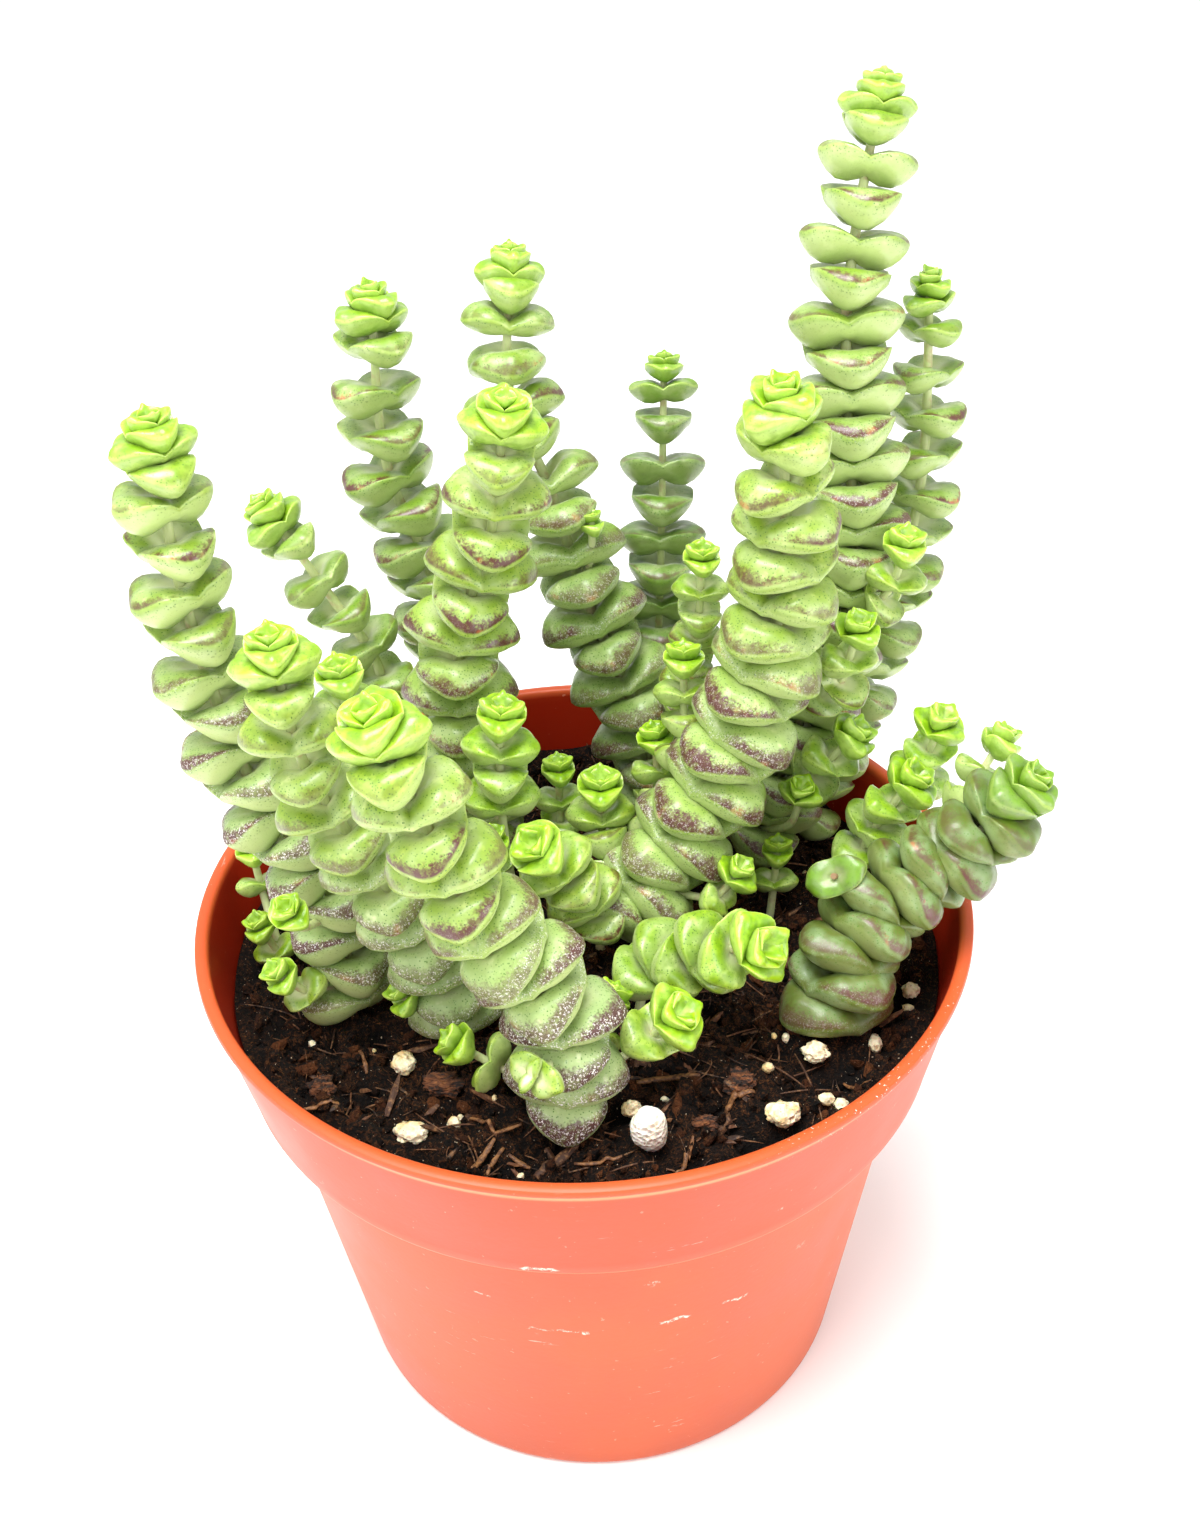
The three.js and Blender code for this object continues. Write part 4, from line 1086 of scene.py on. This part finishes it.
def makePot():
    p = potShape
    outside, inside = potProfile()
    points, faces = turned(outside + inside, p["around"])
    pot = meshObject("nursery_pot", points, faces, [makePotMaterial()])
    outer = 1 + (len(outside) - 1) * p["around"]
    setFloats(pot.data, "inside", [0.0 if index < outer else 1.0 for index in range(len(points))])
    deep, wide, high = p["notchDepth"] * mm, p["notchWidth"] / 2 * mm, p["notchHeight"] * mm
    edge = [(0.0006, -0.002), (0.0004, 0.0002), (-0.0004, high * 0.7), (-0.0012, high)]
    outline = [(-wide - out, up) for out, up in edge] + [(wide + out, up) for out, up in edge[::-1]]
    hole = [(p["holeCircle"] * mm + x, y) for x, y in circle(p["holeRadius"] * mm, p["holeSides"])]
    cutters = []
    for index in range(p["notches"]):
        angle = math.radians(p["firstNotch"] + 360 / p["notches"] * index)
        cutters.append(makeCutter(
            Matrix.Rotation(angle, 4, "Z"),
            *[[(p["baseRadius"] * mm + side * deep, a, b) for a, b in outline] for side in (-1, 1)]))
        cutters.append(makeCutter(
            Matrix.Rotation(angle + math.pi / p["notches"], 4, "Z"),
            *[[(a, b, height) for a, b in hole] for height in (-0.002, 0.006)]))
    for cutter in cutters:
        cut = pot.modifiers.new("cut", "BOOLEAN")
        cut.operation = "DIFFERENCE"
        cut.solver = "EXACT"
        cut.object = cutter
    makeReal(pot)
    for cutter in cutters:
        bpy.data.objects.remove(cutter)
    pot.data.shade_smooth()
    pot.data.set_sharp_from_angle(angle=math.radians(p["sharpAngle"]))
    finishPiece(pot, "pot_plastic", "pot")


makePot()
print("pot made")


# soil: an uneven bed of peat with crumbs, bark shreds and fibres strewn over it

soilBed = {
    "level": 69, "relief": 0.9, "radius": 50.0, "floor": 2.3,
    "around": 216, "rings": 78,
    "lumps": 2.3, "lumpScale": 200.0, "grit": 1.3, "gritScale": 560.0,
    "edge": 5.0,             # how far in from the wall the bed is at its full roughness
    "belowRows": [(36.0, 2.5), (44.3, 57.4), (48.0, 60.8), (49.4, 66.0)],   # radius and height
    "keepOff": {"perlite": 2, "bark": 0},   # nothing large lies this near to a grain
}
soilLook = {
    # the near-black hollow colour is painted shade in the low places, over dark peat
    "hollow": "040201", "soil": "190c05", "brown": "4f2912", "chips": "704020", "grains": "4a2a14",
    "bright": "8a5a32", "thread": "7c4e2a", "flecks": "c9b49a",
}
# what is strewn: pieces for each square metre, room they need, sizes, how far they tumble, which finish
# they take, and the lengths and unevenness of their shapes
strewn = {
    "Crumbs": {"density": 270000.0, "seed": 11, "room": 0.45, "sizes": (0.3, 1.45), "tumble": 3.2,
               "finish": 0, "firstSeed": 1,
               "shapes": [((0.9, 0.8, 0.7), 0.3), ((1.3, 0.7, 0.6), 0.35), ((0.7, 0.7, 0.8), 0.3),
                          ((1.6, 0.9, 0.45), 0.35)]},
    "Clods": {"density": 30000.0, "seed": 17, "room": 0.7, "sizes": (0.25, 1.0), "tumble": 3.1,
              "finish": 0, "firstSeed": 71, "mesh": (9, (-0.9, -0.5, 0.0, 0.45, 0.85)),
              "shapes": [((3.0, 2.1, 1.5), 0.3), ((2.4, 2.0, 1.6), 0.32), ((3.8, 1.5, 1.2), 0.34)]},
    "Fibres": {"density": 76000.0, "seed": 23, "room": 0.97, "sizes": (0.5, 1.5), "tumble": 0.28,
               "finish": 1, "firstSeed": 40, "lengths": (4, 6, 8, 5), "thick": 0.11},
    "Shreds": {"density": 24000.0, "seed": 37, "room": 0.97, "sizes": (0.5, 1.6), "tumble": 0.7,
               "finish": 1, "firstSeed": 61,
               "shapes": [((2.4, 0.4, 0.28), 0.3), ((1.7, 0.6, 0.35), 0.35), ((3.0, 0.4, 0.28), 0.3)]},
}


def soilHeight(x, y):
    swell = math.sin(x * 0.16 + 1.1) * math.cos(y * 0.13 - 0.6)
    ripple = math.sin(x * 0.31 - y * 0.27)
    return soilBed["level"] + soilBed["relief"] * (0.6 * swell + 0.4 * ripple)


def makeSoilMaterial():
    look = soilLook
    material, tree, shader, place = newMaterial("moist peat", 0.85, Specular_IOR_Level=0.2)
    lumps = grain(place, 420.0, 4.0, 0.65)
    grit = grain(place, 1700.0, 3.0, 0.7)
    chance = attribute(tree, "chance")
    # thin threads: where a twisted noise passes through its middle value
    off = calc("ABSOLUTE", minus(grain(place, 330.0, 3.0, 0.5, 2.2), 0.5))
    thread = times(ramp(off, 0.022, 0.004), ramp(lumps, 0.42, 0.6))
    height = addNode(tree, "ShaderNodeSeparateXYZ", {0: place}).outputs[2]
    # the bed's height: brown grains stronger high up as painted light, near-black low down as painted shade
    raised = ramp(height, 0.0672, 0.0712)
    skin = layered(
        # near-black where the lump noise, which also makes the bump, is low: painted shade over dark peat
        blend(ramp(lumps, 0.35, 0.7), look["hollow"], look["soil"]),
        (times(ramp(chance, 0.35, 1.0, 0.0, 0.85), ramp(lumps, 0.44, 0.54, 0.05, 1.0)), look["brown"]),
        (ramp(chance, 0.88, 0.94, 0.0, 0.55), look["chips"]),
        (times(ramp(grit, 0.5, 0.62), ramp(raised, 0.0, 1.0, 0.25, 0.8)), look["grains"]),
        (ramp(grit, 0.64, 0.76, 0.0, 0.7), look["bright"]),
        (times(thread, 0.75), look["thread"]),
        # painted shade: near-black where the bed lies low
        (ramp(height, 0.0688, 0.0674, 0.0, 0.75), look["hollow"]),
        (ramp(grain(place, 2600.0, 1.0), 0.74, 0.78), look["flecks"]))
    dress(shader, skin, plus(lumps, grit, times(thread, 0.4)), 1.0, 0.0013)
    return material


def makeShredMaterial():
    material, tree, shader, place = newMaterial("bark shreds and fibres", 0.7)
    streak = grain(place, 1400.0, 3.0, 0.7)
    skin = blend(attribute(tree, "chance"), "1f0e07", "5c351b")
    dress(shader, blend(ramp(streak, 0.45, 0.7, 0.0, 0.55), skin, "a5764a"), streak, 0.6, 0.0002)
    return material


def makeStripMaterial():
    material, tree, shader, place = newMaterial("pale fibre", 0.6)
    streak = grain(place, 1600.0, 3.0, 0.7)
    dress(shader, blend(ramp(streak, 0.35, 0.65), "4a2a17", "8e6138"), streak, 0.5, 0.0002)
    return material


def crumbShape(name, seed, size, jitter, sides=5, heights=(-0.75, 0.05, 0.8)):
    # a small angular lump with few faces
    chance = random.Random(seed)
    points = [(0, 0, -1.0 * size[2] * mm)]
    for height in heights:
        wide = math.sqrt(max(0.05, 1 - height * height))
        for i in range(sides):
            angle = 2 * math.pi * (i + chance.uniform(-0.25, 0.25)) / sides
            r = wide * chance.uniform(1 - jitter, 1 + jitter)
            points.append((r * math.cos(angle) * size[0] * mm, r * math.sin(angle) * size[1] * mm,
                           (height + chance.uniform(-0.12, 0.12)) * size[2] * mm))
    points.append((0, 0, size[2] * mm))
    top = len(points) - 1
    faces = fan(0, 1, sides, True)
    for low in range(1, top - sides, sides):
        faces += band(low, low + sides, sides)
    return meshObject(name, points, faces + fan(top, top - sides, sides), smooth=False)


def fibreShape(name, seed, length, thick):
    # a bent thread of four sides
    chance = random.Random(seed)
    steps, sides = 6, 4
    points, faces = [], []
    bendA, bendB = chance.uniform(-0.3, 0.3), chance.uniform(0.05, 0.25)
    for k in range(steps + 1):
        t = k / steps - 0.5
        middle = Vector((t * length, bendA * length * (t * t * 2 - 0.25), bendB * length * (0.25 - t * t)))
        r = thick * (0.35 + 0.65 * math.cos(math.pi * t) ** 0.5)
        points += [(middle + Vector((0, y, z))) * mm for y, z in circle(r, sides)]
    for k in range(steps):
        faces += band(k * sides, (k + 1) * sides, sides, True)
    faces += [face[::-1] for face in caps(0, steps * sides, sides)]
    return meshObject(name, points, faces)


def strewnShapes(kind, look):
    shapes = []
    for k, (size, jitter) in enumerate(look.get("shapes", [])):
        shapes.append(crumbShape(f"{kind} {k}", look["firstSeed"] + k, size, jitter, *look.get("mesh", ())))
    for k, length in enumerate(look.get("lengths", [])):
        shapes.append(fibreShape(f"{kind} {k}", look["firstSeed"] + k, length, look["thick"]))
    return shapeCollection(kind, shapes)


def makeSoilNodes(materials, shapes):
    inputs = {"Lumps": soilBed["lumps"] * mm, "Lump Scale": soilBed["lumpScale"],
              "Grit": soilBed["grit"] * mm, "Grit Scale": soilBed["gritScale"]}
    inputs.update({kind + " Per Area": look["density"] for kind, look in strewn.items()})
    tree, given = newGroup("peat bed", inputs)
    room = named(tree, "room")
    where = tree.nodes.new("GeometryNodeInputPosition").outputs[0]
    lump = minus(grain(where, given["Lump Scale"], 1.0, 0.5), 0.5)
    grit = minus(grain(where, given["Grit Scale"], 2.0, 0.5), 0.5)
    lift = plus(times(lump, times(given["Lumps"], 4.0)), times(grit, times(given["Grit"], 3.0)))
    lift = times(lift, calc("MINIMUM", times(room, 2.0), 1.0))
    up = addNode(tree, "ShaderNodeCombineXYZ", {2: lift}).outputs[0]
    bed = addNode(tree, "GeometryNodeSetPosition", {"Geometry": given["Geometry"], "Offset": up}).outputs[0]
    layers = []
    for kind, look in strewn.items():
        seed, tumble = look["seed"], look["tumble"]
        spots = addNode(tree, "GeometryNodeDistributePointsOnFaces", {
            "Mesh": bed, "Selection": above(tree, room, look["room"]), "Density": given[kind + " Per Area"],
            "Seed": seed}).outputs["Points"]
        angles = drawn(tree, (-tumble, -tumble, -3.14), (tumble, tumble, 3.14), seed, "FLOAT_VECTOR")
        laid = layShapes(tree, spots, shapes[kind], angles, drawn(tree, *look["sizes"], seed + 1))
        marked = addNode(tree, "GeometryNodeStoreNamedAttribute", {
            "Geometry": laid, "Name": "chance", "Value": drawn(tree, 0.0, 1.0, seed + 2)},
            data_type="FLOAT", domain="INSTANCE").outputs[0]
        layers.append(painted(tree, realized(tree, marked), materials[look["finish"]]))
    both = joined(tree, *layers, painted(tree, bed, materials[0]))
    addNode(tree, "NodeGroupOutput", {0: both})
    return tree


def makeSoil():
    b = soilBed
    count, rings = b["around"], b["rings"]
    points, room = [], []

    def addRow(radius, height, space):
        for x, y in circle(radius, count):
            points.append((x * mm, y * mm, (soilHeight(x, y) if height is None else height) * mm))
            room.append(space)

    for radius, height in b["belowRows"]:
        addRow(radius, height, 0)
    for ring in range(rings):
        radius = b["radius"] * (1 - ring / rings)
        addRow(radius, None, min(1, max(0.15, (b["radius"] - radius) / b["edge"])) if ring else 0.1)
    bottom = len(points)
    faces = [face for low in range(0, bottom - count, count) for face in band(low, low + count, count)]
    for pair in zip(fan(bottom, 0, count, True), fan(bottom + 1, bottom - count, count)):
        faces += pair
    points += [(0, 0, b["floor"] * mm), (0, 0, soilHeight(0, 0) * mm)]
    room += [0, 1]
    soil = meshObject("peat_bed", points, faces)
    setFloats(soil.data, "chance", [0.3] * len(points))
    for node in frame["nodes"]:
        margin = b["keepOff"].get(node.split("_")[0])
        if margin is None:
            continue
        low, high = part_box(node)
        for index, point in enumerate(points):
            gap = math.dist(point[:2], ((low[0] + high[0]) / 2, (low[1] + high[1]) / 2))
            if point[2] > b["floor"] * 10 * mm and gap < (high[0] - low[0]) / 2 + margin * mm:
                room[index] = min(room[index], 0.4)
    setFloats(soil.data, "room", room)
    shapes = {kind: strewnShapes(kind, look) for kind, look in strewn.items()}
    shredMaterial = makeShredMaterial()
    useGroup(soil, makeSoilNodes((makeSoilMaterial(), shredMaterial), shapes))
    makeReal(soil)
    for collection in shapes.values():
        removeShapes(collection)
    finishPiece(soil, "soil", "soil")
    return soil, shredMaterial


peatBed, shredMaterial = makeSoil()
print("soil made")


# grains that lie on the soil

def makePerliteMaterial(name, light, stain):
    material, tree, shader, place = newMaterial(name, 0.8, Subsurface_Weight=0.15, Subsurface_Scale=0.001)
    cells = addNode(tree, "ShaderNodeTexVoronoi", {"Vector": place, "Scale": 1500.0}).outputs["Distance"]
    clouds = grain(place, 420.0)
    skin = layered(
        blend(ramp(clouds, 0.42, 0.68), light, stain),
        (ramp(cells, 0.2, 0.05, 0.0, 0.6), "8d7658"),
        (ramp(grain(place, 900.0, 4.0, 0.75), 0.62, 0.68, 0.0, 0.8), "6b5236"))
    dress(shader, skin, plus(cells, clouds), 0.9, 0.0004)
    return material


def makeBarkMaterial():
    material, tree, shader, place = newMaterial("bark chips", 0.75)
    layers = grain(stretched(place, (0.5, 1.6, 1.6)), 900.0, 4.0, 0.7)
    skin = layered(
        blend(ramp(layers, 0.4, 0.6), "1c0d06", "7d4826"),
        (ramp(layers, 0.58, 0.7, 0.0, 0.8), "a8703f"),
        (ramp(grain(place, 300.0, 2.0), 0.5, 0.7, 0.0, 0.5), "1a0c06"))
    dress(shader, skin, layers, 1.0, 0.0012)
    return material


grainLook = {
    "perlite": {"material": makePerliteMaterial("creamy perlite", "f6e8c4", "dfbd80"), "slot": "perlite",
                "bumps": 0.36, "scale": 2.6, "cut": 0.0, "mesh": (22, 34)},
    "white": {"material": makePerliteMaterial("white perlite", "fdf8ea", "efe3c8"), "slot": "perlite",
              "bumps": 0.12, "scale": 1.8, "cut": 0.0, "mesh": (22, 34),
              "lift": 1.0, "swell": (1.08, 1.08, 1.28)},
    "bark": {"material": makeBarkMaterial(), "slot": "bark", "bumps": 0.5, "scale": 2.4, "cut": 0.9,
             "mesh": (36, 56)},
}


def ball(rows, around):
    # directions from the top down, the two poles last, and the faces between them
    points = []
    for row in range(1, rows):
        polar = math.pi * row / rows
        points += [Vector((x, y, math.cos(polar))) for x, y in circle(math.sin(polar), around)]
    last = (rows - 2) * around
    faces = [face for low in range(0, last, around) for face in band(low, low + around, around, True)]
    faces += fan(len(points), 0, around) + fan(len(points) + 1, last, around, True)
    return points + [Vector((0, 0, 1)), Vector((0, 0, -1))], faces


def makeGrain(node):
    # a lump in the place and size of its solid
    look = grainLook["white" if node == "perlite_front" else node.split("_")[0]]
    low, high = np.array(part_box(node))
    middle = (low + high) / 2 + np.array([0, 0, look.get("lift", 0) * mm])
    half = (high - low) / 2 * np.array(look.get("swell", (1, 1, 1)))
    chance = random.Random(len(node) + sum(node.encode()))
    offset = Vector([chance.uniform(-50, 50) for axis in range(3)])
    points, faces = ball(*look["mesh"])
    shaped = []
    for p in points:
        swell = 1
        for share, finer in ((1, 0.55), (0.5, 1.6), (0.2, 4.5)):
            swell += look["bumps"] * share * noise.noise(p * look["scale"] * finer + offset)
        if look["cut"]:
            for share, lengths in ((look["bumps"] * look["cut"], (1.2, 5, 5)), (0.3, (3, 11, 9))):
                swell -= share * abs(noise.noise(p * Vector(lengths) + offset))
        shaped.append(p * swell)
    shaped = np.array(shaped)
    shaped = (shaped - shaped.min(0)) / (shaped.max(0) - shaped.min(0)) * 2 - 1
    placed = middle + shaped * half - np.array([0, 0, 0.3 * mm])
    piece = meshObject("grain_" + node, placed, faces, [look["material"]])
    finishPiece(piece, look["slot"], node)


for node in frame["nodes"]:
    if node.split("_")[0] in grainLook:
        makeGrain(node)
print("grains made")


# small pale bits and thin strips that lie on the soil: where, and how large or thick

soilScraps = {
    "bits": [
        (-37.2, -18.4, 1.0), (-17.3, -34.0, 1.5), (-23.5, -36.0, 1.0), (-8.7, -42.7, 0.9),
        (-16.7, -31.6, 1.0), (9.8, -31.0, 1.1), (26.4, -21.7, 1.2), (24.8, -22.2, 0.9),
        (27.5, -17.5, 1.1), (30.6, -32.2, 1.9), (32.4, -33.3, 1.6), (23.5, -27.2, 1.4),
        (38.4, -21.6, 2.3), (44.0, -14.8, 1.3), (41.1, -18.3, 1.3), (3.9, -29.0, 1.2),
        (-29.0, -18.5, 0.8), (14.0, -21.0, 0.8), (-12.2, -30.4, 0.8), (33.0, 12.5, 1.2),
    ],
    "strips": [
        ((6.3, -28.2), (10.2, -26.4), (14.6, -27.5), 0.5),
        ((-15.3, -33.2), (-12.8, -35.6), (-11.7, -37.1), 0.32),
        ((-14.7, -41.6), (-13.8, -39.4), (-12.0, -37.4), 0.42),
        ((-12.9, -42.2), (-12.3, -40.2), (-10.9, -38.2), 0.34),
        ((-12.0, -37.0), (-10.4, -35.9), (-8.6, -35.4), 0.28),
        ((-7.5, -41.4), (-8.6, -40.4), (-10.2, -39.2), 0.34),
        ((-37.5, -30.0), (-34.6, -30.3), (-31.7, -29.6), 0.3),
        ((-30.5, -20.6), (-29.6, -22.4), (-29.4, -24.0), 0.3),
        ((17.5, -33.0), (19.0, -31.6), (21.4, -31.2), 0.5),
        ((-2.0, -41.5), (1.5, -42.4), (4.0, -41.8), 0.3),
        ((33.5, -27.5), (34.5, -29.6), (36.4, -30.8), 0.3),
        ((10.5, -42.5), (12.5, -41.2), (13.2, -38.8), 0.3),
    ],
    "twigs": [((-6.8, -43.0), (-3.9, -40.4), (0.2, -36.6), 0.75)],
}


def makeScraps():
    mesh = peatBed.data
    surface = BVHTree.FromPolygons([v.co for v in mesh.vertices], [p.vertices for p in mesh.polygons])

    def heightAt(x, y):
        hit = surface.ray_cast(Vector((x * mm, y * mm, 0.1)), Vector((0, 0, -1)))[0]
        return hit.z / mm if hit else soilHeight(x, y)

    chance = random.Random(5)
    points, faces = [], []
    directions, skin = ball(6, 9)
    for x, y, size in soilScraps["bits"]:
        first = len(points)
        scale = [size * chance.uniform(0.4, 0.62) for axis in range(3)]
        middle = Vector((x, y, heightAt(x, y) + scale[2] * 0.3))
        for p in directions:
            uneven = 0 if abs(p.z) == 1 else 0.35 * noise.noise(p * 1.6 + Vector((x, y, 0)))
            points.append((middle + p * (1 + uneven) * Vector(scale)) * mm)
        faces += [tuple(first + corner for corner in face) for face in skin]
    bits = meshObject("pale_bits", points, faces, [grainLook["perlite"]["material"]])
    finishPiece(bits, "perlite")

    steps, sides = 14, 7
    for name, strips, material in (("bark_strips", soilScraps["strips"], makeStripMaterial()),
                                   ("dark_twig", soilScraps["twigs"], shredMaterial)):
        points, faces = [], []
        for *spots, thick in strips:
            first = len(points)
            corners = [Vector((*spot, heightAt(*spot) + thick * 0.6)) for spot in spots]
            across = corners[2] - corners[0]
            aside = Vector((-across.y, across.x, 0)).normalized()
            for step in range(steps + 1):
                t = step / steps
                p = corners[0] * (1 - t) ** 2 + corners[1] * 2 * t * (1 - t) + corners[2] * t * t
                p.z = max(p.z, heightAt(p.x, p.y) + thick * 0.2)
                radius = thick * (0.35 + 0.65 * math.sin(math.pi * min(1, max(0, 0.12 + 0.8 * t))) ** 0.6)
                radius *= 1 + 0.3 * noise.noise(p * 1.3)
                points += [(p + aside * out + Vector((0, 0, 0.7 * up))) * mm
                           for out, up in circle(radius, sides)]
            last = first + steps * sides
            faces += [face for low in range(first, last, sides) for face in band(low, low + sides, sides)]
            faces += caps(first, last, sides)
        piece = meshObject(name, points, faces, [material])
        setFloats(piece.data, "chance", [0.35] * len(points))
        finishPiece(piece, "bark")


makeScraps()
print("scraps laid")


# floor, light and camera

studio = {
    "ambient": 0.84,
    "floor": ("f6f6f5", "fbfbfa"), "floorSize": 3,
    # place, target, size and power
    "overhead": ((-0.1, -0.1, 0.85), (0, 0, 0.1), 0.5, 9.6),
    "left front": ((-0.66, -0.5, 0.5), (0, 0, 0.1), 1.1, 4.6),
    "right front": ((0.6, -0.5, 0.35), (0, 0, 0.09), 0.5, 3.2),
}
rim = potShape["rimRadius"]
view = {
    "elevation": 35.49, "roll": -2.13, "distance": 4.368 * rim * mm,
    "target": (0.057 * rim * mm, 0, (0.426 * rim + potShape["height"]) * mm),
    "pixels": 1774.2, "imageHeight": 1518, "sensor": 36,
}


def makeStudio():
    material, tree, shader, place = newMaterial("studio floor", 0.6)
    dress(shader, blend(grain(place, 6.0, 2.0), *studio["floor"]))
    half = studio["floorSize"]
    corners = [(-half, -half, 0), (half, -half, 0), (half, half, 0), (-half, half, 0)]
    meshObject("studio floor", corners, [(0, 1, 2, 3)], [material], smooth=False)
    world = bpy.data.worlds.new("studio")
    world.use_nodes = True
    fill(world.node_tree.nodes["Background"],
         {"Color": (1.0, 1.0, 1.0, 1.0), "Strength": studio["ambient"]})
    scene.world = world
    scene.view_settings.view_transform = "Standard"
    for name in ("overhead", "left front", "right front"):
        place, target, size, power = studio[name]
        data = bpy.data.lights.new(name, "AREA")
        data.shape = "DISK"
        data.size = size
        data.energy = power
        light = bpy.data.objects.new(name, data)
        facing = (Vector(place) - Vector(target)).to_track_quat("Z", "Y")
        light.matrix_world = Matrix.LocRotScale(Vector(place), facing, None)
        scene.collection.objects.link(light)


def makeCamera():
    raised, rolled = math.radians(view["elevation"]), math.radians(view["roll"])
    back = Vector((0, -math.cos(raised), math.sin(raised)))
    right, up = Vector((1, 0, 0)), Vector((0, math.sin(raised), math.cos(raised)))
    turnedRight = right * math.cos(rolled) + up * math.sin(rolled)
    turnedUp = up * math.cos(rolled) - right * math.sin(rolled)
    data = bpy.data.cameras.new("camera")
    data.sensor_width = view["sensor"]
    data.lens = view["pixels"] * view["sensor"] / view["imageHeight"]
    data.clip_start = 0.01
    camera = bpy.data.objects.new("camera", data)
    place = Vector(view["target"]) + back * view["distance"]
    camera.matrix_world = Matrix.Translation(place) @ Matrix(
        (turnedRight, turnedUp, back)).transposed().to_4x4()
    scene.collection.objects.link(camera)
    scene.camera = camera


makeStudio()
makeCamera()
print("camera and lights set")
